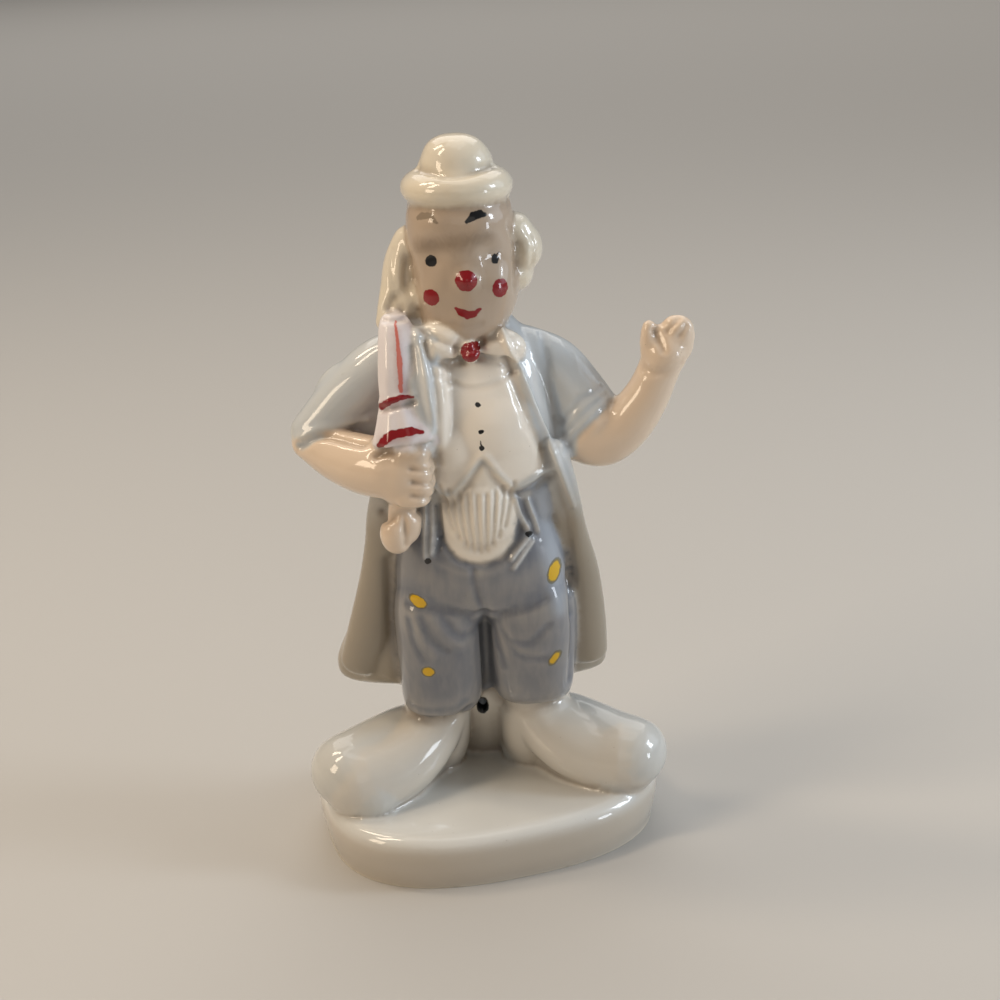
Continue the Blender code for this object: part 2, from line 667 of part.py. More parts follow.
def vent_cutter(mesh):
    """A short oval peg that goes in between the ankles from the front."""
    skin = bmesh.new()
    skin.from_mesh(mesh)
    tree = BVHTree.FromBMesh(skin)
    skin.free()
    mouth = tree.ray_cast(spot(VENT_X, -80, VENT_Z), Vector((0, 1, 0)))[0]
    peg = bmesh.new()
    bmesh.ops.create_cone(
        peg, cap_ends=True, segments=16, radius1=0.5, radius2=0.5, depth=VENT_DEPTH * 2
    )
    bmesh.ops.rotate(peg, verts=peg.verts, matrix=Matrix.Rotation(math.pi / 2, 3, "X"))
    bmesh.ops.scale(peg, vec=(VENT_WIDTH, 1, VENT_HEIGHT), verts=peg.verts)
    bmesh.ops.translate(peg, vec=mouth, verts=peg.verts)
    shape = bpy.data.meshes.new("vent_cutter")
    peg.to_mesh(shape)
    peg.free()
    cutter = bpy.data.objects.new("vent_cutter", shape)
    cutter.hide_render = True
    cutter.display_type = "WIRE"
    bpy.context.scene.collection.objects.link(cutter)
    return cutter


def glazed_porcelain():
    material = bpy.data.materials.new("glazed_porcelain")
    material.use_nodes = True
    surface = material.node_tree.nodes["Principled BSDF"]
    surface.inputs["Base Color"].default_value = PORCELAIN
    surface.inputs["Roughness"].default_value = 0.12
    surface.inputs["Metallic"].default_value = 0.0
    return material


def build():
    for old in list(bpy.data.objects):
        bpy.data.objects.remove(old)
    skin = finished(
        build_clay(),
        ("REMESH", {"mode": "VOXEL", "voxel_size": GRAIN, "adaptivity": 0.0}),
        ("SMOOTH", {"factor": 0.5, "iterations": 5}),
    )
    tool_work(skin)
    count = sum(len(face.vertices) - 2 for face in skin.polygons)
    skin = finished(skin, ("DECIMATE", {"ratio": TRIANGLES / count}))
    cut_flat(skin)
    cutter = vent_cutter(skin)
    skin = finished(
        skin, ("BOOLEAN", {"operation": "DIFFERENCE", "object": cutter, "solver": "EXACT"})
    )
    bpy.data.objects.remove(cutter)
    skin.materials.clear()
    skin.materials.append(glazed_porcelain())
    figurine = bpy.data.objects.new("clown_figurine", skin)
    bpy.context.scene.collection.objects.link(figurine)


build()
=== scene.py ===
# A glazed clown figurine on its oval plinth: one slip-cast piece, painted by hand and glazed.
# Drawn sizes are millimetres: x to the right, y away from the front, z up from the table.

import math

import bmesh
import bpy
import numpy as np
from mathutils import Matrix, Vector
from mathutils.bvhtree import BVHTree


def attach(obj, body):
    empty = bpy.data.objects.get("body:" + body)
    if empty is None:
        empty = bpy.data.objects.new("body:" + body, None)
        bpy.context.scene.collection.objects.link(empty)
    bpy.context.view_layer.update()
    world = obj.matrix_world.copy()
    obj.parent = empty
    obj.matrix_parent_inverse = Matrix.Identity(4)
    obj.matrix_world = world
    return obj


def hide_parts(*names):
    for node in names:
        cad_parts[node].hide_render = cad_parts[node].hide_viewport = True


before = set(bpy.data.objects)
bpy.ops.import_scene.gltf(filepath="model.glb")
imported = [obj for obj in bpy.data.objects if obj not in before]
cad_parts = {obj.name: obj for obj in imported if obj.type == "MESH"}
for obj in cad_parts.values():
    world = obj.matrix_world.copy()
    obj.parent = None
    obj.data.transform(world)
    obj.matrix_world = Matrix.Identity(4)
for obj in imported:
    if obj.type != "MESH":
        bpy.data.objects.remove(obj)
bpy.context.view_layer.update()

casting = {
    "grain": 0.00046,  # how finely the clay is merged
    "softening": 13,  # rounds of smoothing over the seams
    "triangles": 190000,
    "plinthMiddle": (-1.0, 4.8),  # where the plinth's middle lies on the drawing
    "frontLimit": -0.006,  # the painted areas' outlines count in front of this depth
    "brushLimit": -0.004,  # and the brush strokes in front of this one
}

clay = {}  # one bmesh for each kind of surface


def spot(x, y, z):
    middle = casting["plinthMiddle"]
    return Vector((x - middle[0], y - middle[1], z)) / 1000


def smoothPath(points, steps):
    # more points on a smooth curve through the given ones
    rows = [np.array(point, float) for point in points]
    rows = [2 * rows[0] - rows[1]] + rows + [2 * rows[-1] - rows[-2]]
    path = []
    for a, b, c, d in zip(rows, rows[1:], rows[2:], rows[3:]):
        for i in range(steps):
            t = i / steps
            pull = (2 * a - 5 * b + 4 * c - d) * t**2 + (3 * b - a - 3 * c + d) * t**3
            path.append(0.5 * (2 * b + (c - a) * t + pull))
    path.append(rows[-2])
    return path


def ovalPoints(count, squareness=2.0, flutes=0, depth=0.0):
    points = []
    for i in range(count):
        angle = 2 * math.pi * i / count
        c, s = math.cos(angle), math.sin(angle)
        wave = 1 + depth * math.cos(flutes * angle)
        points.append(
            (
                wave * math.copysign(abs(c) ** (2 / squareness), c),
                wave * math.copysign(abs(s) ** (2 / squareness), s),
            )
        )
    return points


def addForm(kind, form):
    # puts a closed form with the rest of its kind
    bmesh.ops.recalc_face_normals(form, faces=form.faces)
    mesh = bpy.data.meshes.new("form")
    form.to_mesh(mesh)
    form.free()
    clay.setdefault(kind, bmesh.new()).from_mesh(mesh)
    bpy.data.meshes.remove(mesh)


def addLoft(kind, rings):
    form = bmesh.new()
    below = []
    for number, ring in enumerate(rings):
        end = number in (0, len(rings) - 1)
        made = bmesh.ops.create_circle(form, cap_ends=end, segments=len(ring), radius=1)
        for vert, place in zip(made["verts"], ring):
            vert.co = place
        edges = list({edge for vert in made["verts"] for edge in vert.link_edges})
        if below:
            bmesh.ops.bridge_loops(form, edges=below + edges)
        below = edges
    addForm(kind, form)


def addEgg(kind, centre, radii, turn=0):
    form = bmesh.new()
    place = Matrix.Translation(spot(*centre)) @ Matrix.Rotation(math.radians(turn), 4, "Y")
    stretch = Matrix.Diagonal((*(radius / 1000 for radius in radii), 1))
    bmesh.ops.create_icosphere(form, subdivisions=5, radius=1, matrix=place @ stretch)
    addForm(kind, form)


def addStack(kind, levels, squareness=2.0, flutes=0, depth=0.0):
    # level ovals from the bottom up: z, centre x, centre y, half width, half depth
    unit = ovalPoints(108 if flutes else 64, squareness, flutes, depth)
    rings = []
    for z, x, y, wide, deep in smoothPath(levels, 4):
        rings.append([spot(x + wide * u, y + deep * v, z) for u, v in unit])
    addLoft(kind, rings)


def addLimb(kind, joints, flat=1.0, lean=(0, -1, 0)):
    # round-ended, through joints x, y, z, radius; flat under 1 thins it along lean
    path = smoothPath(joints, 6)
    centres = [Vector(step[:3]) for step in path]
    last = len(path) - 1
    dome = [math.pi / 2 * k / 6 - 0.08 for k in range(1, 6)]
    rings = []
    for i, centre in enumerate(centres):
        radius = float(path[i][3])
        ahead = (centres[min(i + 1, last)] - centres[max(i - 1, 0)]).normalized()
        thin = Vector(lean) - ahead * ahead.dot(Vector(lean))
        thin.normalize()
        side = ahead.cross(thin)
        slices = [(0.0, 1.0)]
        if i == 0:
            slices = [(-math.cos(a), math.sin(a)) for a in dome] + slices
        if i == last:
            slices = slices + [(math.cos(a), math.sin(a)) for a in reversed(dome)]
        for forward, scale in slices:
            middle = centre + ahead * forward * radius * flat
            ring = []
            for u, v in ovalPoints(40):
                ring.append(spot(*(middle + (side * u + thin * v * flat) * radius * scale)))
            rings.append(ring)
    addLoft(kind, rings)


plinth = {
    "width": 0.081,
    "depth": 0.063,
    "height": 0.013,
    "rimRadius": 0.0035,
    "footInset": 0.0014,
    "turn": 16,
    "squareness": 2.5,
}


def makePlinth():
    wall = plinth["height"] - plinth["rimRadius"]
    rows = [
        (-0.0024, plinth["footInset"]),  # runs on below the table, to be cut there
        (wall * 0.1, plinth["footInset"]),
        (wall * 0.45, plinth["footInset"] * 0.35),
        (wall * 0.8, 0.0),
    ]
    for i in range(10):
        angle = math.pi / 2 * i / 9
        rows.append(
            (
                wall + plinth["rimRadius"] * math.sin(angle),
                plinth["rimRadius"] * (1 - math.cos(angle)),
            )
        )
    turn = Matrix.Rotation(math.radians(plinth["turn"]), 3, "Z")
    rings = []
    for height, inset in rows:
        ring = []
        for u, v in ovalPoints(120, plinth["squareness"]):
            across = u * (plinth["width"] / 2 - inset)
            back = v * (plinth["depth"] / 2 - inset)
            ring.append(turn @ Vector((across, back, 0)) + Vector((0, 0, height)))
        rings.append(ring)
    addLoft("plinth", rings)


shoes = {
    "left": (
        (-13.5, 8.5, 21, 7.6), (-18, 4, 22.2, 9.2), (-23.2, -0.8, 22, 9.7),
        (-28.4, -4.8, 21.2, 9.9), (-33, -8.2, 20.6, 9.9),
    ),
    "right": (
        (12, 8.6, 22.6, 7.8), (17, 5, 23, 9.2), (22.4, 1.8, 21.8, 9.6),
        (28, -1.4, 20.4, 9.6), (33.4, -4.2, 19.8, 9.3),
    ),
    "flat": 0.88,
    # the wide soles, down on the plinth
    "soles": (
        (
            (-12.5, 12, 16, 6.6), (-18, 4.6, 17, 7.8), (-24.6, -4.8, 17.4, 8.6),
            (-29.2, -10, 17.2, 8.8),
        ),
        (
            (8.5, 10.5, 16, 6.6), (15.5, 7.6, 17, 7.6), (22.6, 0.6, 17.2, 8.4),
            (30, -3.6, 17.2, 9.2),
        ),
    ),
    "soleFlat": 0.9,
    "ankles": (
        (
            (-13.5, 12.5, 14, 7), (-12.8, 8, 20, 8), (-12.3, 4.6, 27, 8),
            (-11.4, 3, 33, 7.5), (-10.8, 3, 38, 7.4),
        ),
        (
            (10, 13, 14, 7.2), (10.7, 8.4, 20, 8), (11, 4.8, 27, 8.2),
            (11, 3.2, 34, 7.8), (11, 3.2, 40, 7.8),
        ),
    ),
    "insteps": (
        (
            (-11.6, 2.2, 29.5, 6.9), (-14.6, 0.2, 25.2, 7.6), (-19.4, -3.2, 21.6, 8.6),
            (-25.2, -6.8, 19.6, 9.2), (-30.4, -9.2, 19.2, 9.4),
        ),
        (
            (11.2, 2.6, 31, 7.2), (14.4, 1.4, 25.8, 7.8), (19.4, -0.8, 22, 8.4),
            (25.6, -2.8, 19.4, 8.8), (31.2, -4.2, 19, 9.2),
        ),
    ),
    "clayBetween": (
        (8, 0.3, 17.4, 12, 5.6), (14, 0.3, 17, 11, 5.8), (20, 0.3, 14.4, 10, 6.4),
        (26, 0.3, 11.2, 10, 6.8), (32, 0.3, 9, 10, 7.2), (42, 0.3, 8.6, 12, 7.4),
    ),
}


def makeShoes():
    for side in ("left", "right"):
        addLimb("shoes", shoes[side], shoes["flat"], (0, 0, 1))
    for sole in shoes["soles"]:
        addLimb("shoes", sole, shoes["soleFlat"], (0, 0, 1))
    for limb in shoes["ankles"] + shoes["insteps"]:
        addLimb("ankles", limb)
    addStack("ankles", shoes["clayBetween"])


trousers = {
    "hips": (
        (56, 0.3, 1, 15, 9), (60, 0.3, 0.6, 19, 12.2), (64.5, 0.4, 0, 20.2, 13.7),
        (70, 0.4, -0.4, 19.9, 14.3), (76, 0.2, -0.4, 18.8, 14),
        (82, 0.4, -0.2, 17.4, 13.4), (89, 1, 0, 16.6, 13.2), (95, 1.4, 0.4, 15.6, 12.8),
    ),
    "left": (
        (31.6, -11, 2.4, 6.8, 6.8), (32.8, -10.8, 2.2, 8.4, 8.4), (36, -10.4, 1.8, 9.5, 9.8),
        (43, -10, 1.2, 10.2, 10.8), (51, -10, 0.6, 10.5, 12),
        (60, -9.9, 0.2, 10.5, 13.1), (66, -9.3, 0.2, 10, 12.4),
        (70, -8.8, 0.2, 8.6, 10.6),
    ),
    "right": (
        (34, 11, 2.8, 7.6, 7.4), (35.2, 11, 2.6, 8.8, 8.8), (38.2, 11, 2.2, 9.5, 9.8),
        (45, 10.9, 1.2, 10.2, 10.8), (52, 10.9, 0.6, 10.6, 12),
        (60, 10.7, 0.2, 10.7, 13.1), (66, 10.1, 0.2, 10, 12.4), (70, 9.4, 0.2, 8.6, 10.6),
    ),
    "squareness": 2.6,
    "legSquareness": 2.7,
    "web": ((0.6, -3.6, 62, 4), (0.5, -1.6, 48, 3.8), (0.4, 2.4, 39, 4)),
}


def makeTrousers():
    addStack("trousers", trousers["hips"], trousers["squareness"])
    for leg in ("left", "right"):
        addStack("trousers", trousers[leg], trousers["legSquareness"])
    addLimb("trousers", trousers["web"])


coat = {
    "skirt": (
        (36.4, -3.2, 9, 28, 6), (38, -3.2, 8.8, 31.4, 8), (41.5, -3.2, 8.6, 32.2, 9.6),
        (45, -2.8, 8.4, 31.6, 10.4), (52, -1.8, 8, 29.4, 10.8),
        (60, -0.8, 7.6, 27.8, 11.4), (68, -0.4, 7, 26, 12),
        (76, -1.2, 6, 23.6, 12.6), (84, -2, 4.6, 22.4, 13.2),
        (90, -1.4, 3, 20.6, 13.6), (96, -0.6, 1.8, 19.4, 13.8),
        (101, -0.2, 1, 17.8, 12.8), (105, 0, 0.6, 14, 10),
    ),
    "chest": (
        (84, 0.4, 1, 15, 11), (88, 0.3, 0.4, 18, 14.4), (96, 0.1, 0, 19, 15.6),
        (102, 0, 0, 18.8, 15.5), (108, 0, 0.2, 18, 15),
        (113, -0.2, 0.4, 17.2, 13.8), (117, -0.4, 0.8, 16.6, 12.2),
        (120.5, -0.4, 1.2, 15, 10.4), (123.5, -0.2, 1.6, 11.4, 8.6),
        (126.5, 0, 1.8, 8.6, 7),
    ),
    "squareness": 2.3,
    "rightEdge": (
        (17.4, -9.6, 98, 3), (19.2, -8.4, 88, 3.4), (20.6, -5, 77, 3.8),
        (22.6, -2, 66, 4.4), (23.4, 0.4, 54, 5), (24, 2.4, 44, 4.8),
    ),
    "leftEdge": (
        (-18, -8, 94, 3.6), (-20.4, -6.6, 84, 4), (-21.8, -3.6, 75, 4),
        (-23.6, -1.2, 65, 4.4), (-26.4, 0.8, 53, 5), (-29.4, 2.8, 43.6, 4.8),
    ),
    "edgeFlat": 0.7,
    "underArm": ((-24, 1, 107.6), (11, 5.2, 10)),
    "collar": ((-12, -3, 122), (6, 6, 6)),
    "lapel": ((-9.8, -9.4, 122, 4.6), (-9.2, -12.2, 114, 5.2), (-9, -13, 104, 5.2)),
    "leftSleeve": (
        (-12, 1.4, 117, 6.6), (-19, 0.8, 115.2, 6.8), (-27, 0, 109.2, 6.4),
        (-35.2, -1.2, 101.6, 5.2),
    ),
    "rightSleeve": (
        (11, 1, 116.4, 6.8), (18, 0.2, 113.2, 7), (22.6, -1.4, 107.4, 7.2),
        (25.6, -2.6, 102.4, 7.6),
    ),
}


def makeCoat():
    for name in ("skirt", "chest"):
        addStack("coat", coat[name], coat["squareness"])
    for name in ("rightEdge", "leftEdge"):
        addLimb("coat", coat[name], coat["edgeFlat"])
    for name in ("underArm", "collar"):
        addEgg("coat", *coat[name])
    for name in ("lapel", "leftSleeve", "rightSleeve"):
        addLimb("coat", coat[name])


waistcoat = {
    "belly": ((0.8, -4.2, 85.4), (12, 12.8, 12.8)),
    "chest": (((3.2, -5, 103), (13.4, 11.4, 12.6)), ((-4.4, -6.4, 100.4), (9, 10, 10))),
    "straps": (((-10, -7.4, 85), (5.6, 5, 9.5)), ((12.6, -6.6, 87), (5, 5, 8.5))),
}


def makeWaistcoat():
    addEgg("shirt", *waistcoat["belly"])
    for egg in waistcoat["chest"]:
        addEgg("waistcoat", *egg)
    for egg in waistcoat["straps"]:
        addEgg("trousers", *egg)


arms = {
    "leftForearm": (
        (-35.8, -2.2, 99.8, 4.4), (-30, -5.6, 97.6, 5.8), (-23.6, -10.4, 96.6, 6.6),
        (-18, -14, 96.4, 6.6),
    ),
    "fist": ((-15.2, -15.6, 95.8), (6.6, 5.6, 7.4)),
    "fingers": ((-10.9, 100.6, 1.9), (-10.4, 97.4, 2), (-10.5, 94.2, 2), (-11.2, 91.2, 1.9)),
    "rightForearm": (
        (23.6, -2.8, 99.6, 7), (28.6, -3.8, 98.4, 6.8), (34, -5, 101.8, 5.8),
        (38.2, -5.6, 107.6, 5), (40.8, -6, 113.4, 4.6), (42.2, -6, 117, 5),
    ),
    "palm": ((42.8, -6, 118.8), (5.7, 3.6, 4.9)),
    "thumb": ((39.4, -6.6, 117, 2.6), (38.8, -6.8, 120.6, 2.1), (38.8, -6.8, 123.2, 1.6)),
    "mitten": ((43.6, -5.8, 118, 4.2), (44.7, -6, 121, 4.2), (45, -6.4, 122.6, 3.6)),
    "mittenFlat": 0.8,
}


def makeArms():
    addLimb("skin", arms["leftForearm"])
    addEgg("skin", *arms["fist"])
    for x, z, r in arms["fingers"]:
        addLimb("skin", ((x - 4, -19.0, z, r), (x - 0.6, -19.2, z, r), (x + 0.4, -16.0, z, r)))
    addLimb("skin", arms["rightForearm"])
    addEgg("skin", *arms["palm"])
    addLimb("skin", arms["thumb"])
    addLimb("skin", arms["mitten"], arms["mittenFlat"])


umbrella = {
    "canopy": (
        (102.4, -14.2, -15.6, 6.2, 4.8), (103.2, -14.2, -15.6, 7.2, 5.4),
        (105.4, -14.2, -15.2, 6.6, 5.2), (109.6, -14.8, -14.2, 5, 4.4),
        (113.2, -15.4, -13.6, 3.9, 3.8), (115.4, -15.3, -13.2, 4.1, 3.8),
        (119, -15, -12.4, 4.3, 3.9), (124, -15, -10.8, 4, 3.6),
        (127.6, -15.2, -9, 3.4, 3), (129.2, -15.4, -8, 2.2, 2),
    ),
    "flutes": 9,
    "fluteDepth": 0.045,
    "stick": ((-14.6, -15, 104, 3), (-15.6, -15, 92, 3), (-16.2, -14.4, 84, 3.4)),
    "crook": (((-17.6, -14.8, 82), (3.7, 3.8, 4.8)), ((-14.6, -14.2, 84.6), (2.7, 3.2, 5.2))),
}


def makeUmbrella():
    addStack("umbrella", umbrella["canopy"], 2.0, umbrella["flutes"], umbrella["fluteDepth"])
    addLimb("skin", umbrella["stick"])
    for egg in umbrella["crook"]:
        addEgg("skin", *egg)


head = {
    "skull": (
        (121.4, -0.8, -5.5, 2.4, 2.6), (122.6, -0.7, -4.9, 6, 5.8),
        (125.6, -0.3, -2.9, 9.2, 9), (130, 0.2, -1.2, 11, 10.9),
        (135, 0.3, -0.6, 11.4, 11.7), (139, 0, -0.4, 11.4, 12),
        (143.5, -0.3, -0.3, 11.7, 12.2), (148, -0.5, 0, 11.4, 12),
        (151.5, -0.5, 0.3, 10.6, 11.2), (154, -0.4, 0.3, 8, 8.6),
    ),
    "squareness": 2.1,
    "neck": ((0, 1.5, 112, 8), (0, 0.5, 127, 7.5)),
    "bowWings": (
        ((-5.6, -9.2, 122.6), (5.6, 4.6, 4.6), 16), ((6.4, -7.4, 120.8), (6.2, 4.2, 4), 8),
    ),
    "bowKnot": ((0.6, -12.2, 120.9), (2.3, 2.5, 2.3)),
    "hairEggs": (
        ((11.2, 2, 143.6), (4, 6.2, 4)), ((12.6, 2.2, 140), (4.5, 6.8, 5.4)),
        ((11.4, 2.2, 135), (3.6, 5.6, 4.4)), ((-11.2, -1, 130), (4.6, 5.4, 5.6)),
        ((0, 6.6, 138), (12, 8, 9.5)), ((0, 7.6, 131), (9.6, 6, 6)),
    ),
    "leftLock": (
        (-11.6, 1.6, 142.4, 3.6), (-13.4, 0.6, 138, 3.9), (-14.6, -1.4, 133, 3.7),
        (-16.2, -3.4, 128.8, 3), (-17.2, -4.6, 126.6, 2.4),
    ),
}


def makeHead():
    addStack("face", head["skull"], head["squareness"])
    addLimb("face", head["neck"])
    for centre, radii, turn in head["bowWings"]:
        addEgg("bow", centre, radii, turn)
    addEgg("bow", *head["bowKnot"])
    for egg in head["hairEggs"]:
        addEgg("hair", *egg)
    addLimb("hair", head["leftLock"])


hat = {
    "brim": (
        (150.4, -0.7, 0.3, 8.6, 9), (151.4, -0.7, 0.3, 10.8, 11.4),
        (153, -0.7, 0.3, 11.8, 12.4), (154.8, -0.7, 0.3, 12, 12.6),
        (156.4, -0.7, 0.3, 11.1, 11.7), (157.6, -0.7, 0.3, 9.4, 9.8),
        (158.4, -0.7, 0.3, 7.6, 8),
    ),
    "crown": (
        (155, -0.7, 0.3, 8.4, 8.8), (158.6, -0.7, 0.3, 8, 8.4), (160.6, -0.5, 0.3, 7.4, 7.8),
        (162.4, -0.7, 0.3, 6.4, 6.7), (163.8, -0.8, 0.3, 5, 5.2), (164.7, -0.9, 0.3, 3, 3.1),
        (165, -0.9, 0.3, 0.8, 0.8),
    ),
}


def makeHat():
    addStack("hat", hat["brim"])
    addStack("hat", hat["crown"])


# Thumb presses and swellings: reach, height, and their middles as (x, z) on the front.
thumbWork = {
    "eyeSockets": (2.8, -1, ((-6.5, 142), (6, 141.5))),
    "brows": (3.2, 0.5, ((-6, 148), (4.5, 148))),
    "nose": (1.7, 1.9, ((0.5, 136.5),)),
    "cheeks": (3.1, 0.8, ((-7, 132.5), (7.5, 133.5))),
    "muzzle": (2.6, 0.7, ((0.5, 131.5), (-1, 125.5))),
    "lip": (1.2, 0.3, ((-1, 128.5), (2, 128.5))),
}

# Tool lines on the front: width, height (a cut is below zero), and the way they run as (x, z).
toolLines = {
    "crownOnBrim": (1.6, -0.5, ((-8.5, 158.5), (-1, 157.5), (7, 158.5))),
    "brimOnFace": (2.4, -0.4, ((-11.5, 151), (-0.5, 151.5), (10, 151))),
    "leftHair": (2, -0.7, ((-12, 139.5), (-12.5, 134.5), (-10.5, 129))),
    "rightHair": (2.2, -0.5, ((10, 146), (11.5, 141), (10.5, 134))),
    "rightLock": (1.4, -0.35, ((13.5, 145), (15, 141.5), (14.5, 137.5))),
    "leftLock": (1.4, -0.3, ((-15, 141.5), (-15.5, 138), (-15, 134.5))),
    "curl": (1.8, -0.8, ((-15, 132), (-16.5, 130))),
    "curlFoot": (1.6, -0.7, ((-17.5, 128.5), (-13, 128.5))),
    "underLip": (1.1, -0.3, ((-2.5, 127.5), (0, 126.5), (3, 127))),
    "chin": (1.6, -0.8, ((-9, 126), (-1, 122), (6, 123.6))),
    "leftBow": (1.4, -0.8, ((-9, 124), (-7, 120), (-1.5, 118.5))),
    "rightBow": (1.4, -0.7, ((2.5, 119.5), (8, 118.5), (10, 116))),
    "knotLeft": (1.1, -0.6, ((-2, 123.5), (-2.5, 121.5), (-1.5, 119))),
    "knotRight": (1.1, -0.6, ((3, 123), (3, 121), (2, 119))),
    "neckline": (1.2, -0.35, ((-6.5, 117), (-1, 113.5), (5, 114), (9.5, 116))),
    "leftCoatEdge": (1.6, 0.5, ((-10.5, 126), (-9, 118), (-8, 106.5))),
    "leftOfWaistcoat": (1.6, -0.6, ((-9, 124.5), (-7, 114), (-7.5, 98))),
    "rightCoatEdge": (
        1.3,
        0.9,
        ((7, 125), (10.8, 115.5), (14, 106.5), (17.5, 96.5), (21, 84.5)),
    ),
    "rightOfWaistcoat": (
        2.2,
        -0.8,
        ((8, 118), (11.3, 108), (13.2, 103), (16.8, 93.5), (19.8, 80), (20.5, 58)),
    ),
    "waistcoatPoints": (
        1.4,
        0.5,
        (
            (-9.5, 92), (-5.6, 90.2), (-1.9, 94), (2, 99.2), (4.8, 95), (8.6, 91.2),
            (16.8, 93.8),
        ),
    ),
    "underThePoints": (
        1.6,
        -0.55,
        (
            (-9.5, 90), (-5.6, 88.2), (-1.9, 92), (2, 97.2), (4.8, 93), (8.6, 89.2),
            (16.8, 91.8),
        ),
    ),
    "umbrellaOnCoat": (1.6, -0.45, ((-11.5, 123), (-10.5, 113), (-8.5, 107))),
    "umbrellaTie": (1.1, 0.4, ((-19, 112), (-15.5, 113), (-12, 113.5))),
    "belowTheTie": (1.3, -0.9, ((-19, 110.5), (-15.5, 111.5), (-12, 112))),
    "underTheCanopy": (1.6, -1, ((-20.5, 101), (-14.5, 103.5), (-8.5, 103))),
    "firstFinger": (1.1, -0.7, ((-13, 98.5), (-8.5, 97.5))),
    "secondFinger": (1.1, -0.7, ((-13, 95.5), (-8.5, 94.5))),
    "thirdFinger": (1.1, -0.6, ((-13, 92.5), (-9, 91))),
    "handOnCrook": (1.8, -0.9, ((-20.5, 85), (-16, 87.5), (-12, 86.5))),
    "crook": (1.2, -0.7, ((-15.5, 86), (-15.5, 80))),
    "leftSleeve": (1.8, -0.9, ((-38, 100), (-33, 102.5), (-23.5, 102.5))),
    "leftSleeveLip": (1.8, 0.5, ((-38, 101.5), (-32, 104), (-23, 105))),
    "rightArmhole": (1.7, -0.4, ((16, 121.5), (17.5, 110), (20, 98))),
    "cuff": (1.5, -0.45, ((19.5, 103.5), (23.5, 108), (28.5, 110))),
    "cuffFold": (1.3, -0.35, ((20, 101), (23.5, 104.5), (26.5, 107), (29.5, 108.5))),
    "cuffEnd": (1.7, -0.55, ((21, 98.5), (26, 103.5), (30.5, 107))),
    "wrist": (1.8, -0.5, ((37, 114.5), (41, 114), (45.5, 115.5))),
    "thumb": (1.6, -0.7, ((40, 122.5), (41.5, 119))),
    "mittenFinger": (1.2, -0.5, ((42.5, 122.5), (44, 124), (45, 125))),
    "mittenTip": (1.2, -0.5, ((45, 121.5), (46.5, 123.5))),
    "leftStrap": (0.9, 0.8, ((-11.2, 87), (-11.4, 81.5), (-11.7, 75))),
    "leftStrapInside": (0.9, 0.9, ((-9.4, 87), (-9.7, 81.5), (-10.3, 76))),
    "leftStrapCut": (1.2, -0.6, ((-8.2, 87), (-8.2, 81.5), (-8.7, 77.5))),
    "rightStrap": (0.9, 0.8, ((8.5, 88), (9.4, 84.2), (11, 80.7))),
    "rightStrapOutside": (0.9, 0.9, ((11.1, 87.2), (12.6, 82.2), (13.2, 79.5))),
    "strapFork": (0.9, 0.6, ((11, 78.4), (8.6, 76.2), (7.2, 74.3))),
    "strapForkOutside": (0.9, 0.6, ((12, 77.8), (9.9, 75.4), (7.6, 72.3))),
    "underTheShirt": (
        1.5,
        -0.6,
        ((-8.1, 80), (-5.4, 75.6), (-0.2, 73.6), (4.7, 74.8), (8, 77.8), (9.6, 81)),
    ),
    "waistband": (1.6, 0.2, ((-9.5, 74.5), (-4, 71.8), (2, 71.5), (6, 73))),
    "centreSeam": (1.1, -0.4, ((-1.5, 72), (-1, 67.5), (0, 63))),
    "crotchTop": (2.6, 0.1, ((-16, 65.5), (-9, 64.6), (0.4, 63), (8.5, 63.6), (14, 66))),
    "crotch": (1.8, -0.4, ((-16.4, 63.5), (-9.3, 62.5), (0.4, 60.3), (8.5, 61.4), (14.2, 63.8))),
    "betweenTheLegs": (2, -1, ((0.4, 61), (0.4, 50), (0.2, 37.5))),
    "leftKnee": (1.6, -0.3, ((-16.5, 59.5), (-15.6, 53.5), (-13.6, 48.8))),
    "leftKneeFold": (1.6, -0.32, ((-13.9, 60.5), (-11.6, 54.8), (-8.6, 51.8))),
    "leftKneeRidge": (2.4, 0.25, ((-15.3, 60.5), (-13.8, 54.5), (-11.2, 50.5))),
    "leftKneeTop": (1.8, -0.28, ((-9, 60.8), (-5.7, 55.7), (-2.4, 55.2))),
    "leftKneeSwell": (2.6, 0.22, ((-11, 60), (-8.2, 55), (-5, 52.6))),
    "rightKnee": (1.6, -0.28, ((3.4, 58), (6, 53.6), (10.4, 52.7), (14.6, 57))),
    "rightKneeFold": (1.6, -0.26, ((3.8, 55.8), (8, 49.4), (13.6, 47.7))),
    "rightKneeRidge": (2.4, 0.22, ((4, 56.6), (7.5, 51.2), (12.5, 50.2))),
    "rightInside": (2, -0.3, ((2, 57.5), (3, 51), (4, 46))),
    "leftHem": (1.6, -0.2, ((-17.5, 36), (-14.5, 35), (-8, 35), (-5, 37))),
    "leftAnkle": (2.2, -0.6, ((-18, 32), (-14.5, 31), (-7.5, 31.5), (-4.5, 34))),
    "rightAnkle": (2.2, -0.6, ((1.5, 35.5), (4.5, 31.5), (13.5, 33), (17.5, 34))),
    "leftTail": (2.4, -0.7, ((-20.5, 72), (-21, 56), (-20.5, 40))),
    "rightTail": (2.4, -0.7, ((20, 67), (20.5, 54), (19.5, 40))),
}

pleats = {
    "count": 9,
    "spacing": 2.0,
    "gather": 0.72,  # how far the foot of each pleat draws in
    "middle": 0.3,
    "top": 90.0,
    "foot": 76.5,
    "width": 0.9,
    "cut": -0.55,
}

vent = {"x": -1.3, "z": 30.6, "width": 0.0024, "height": 0.0044, "depth": 0.004}


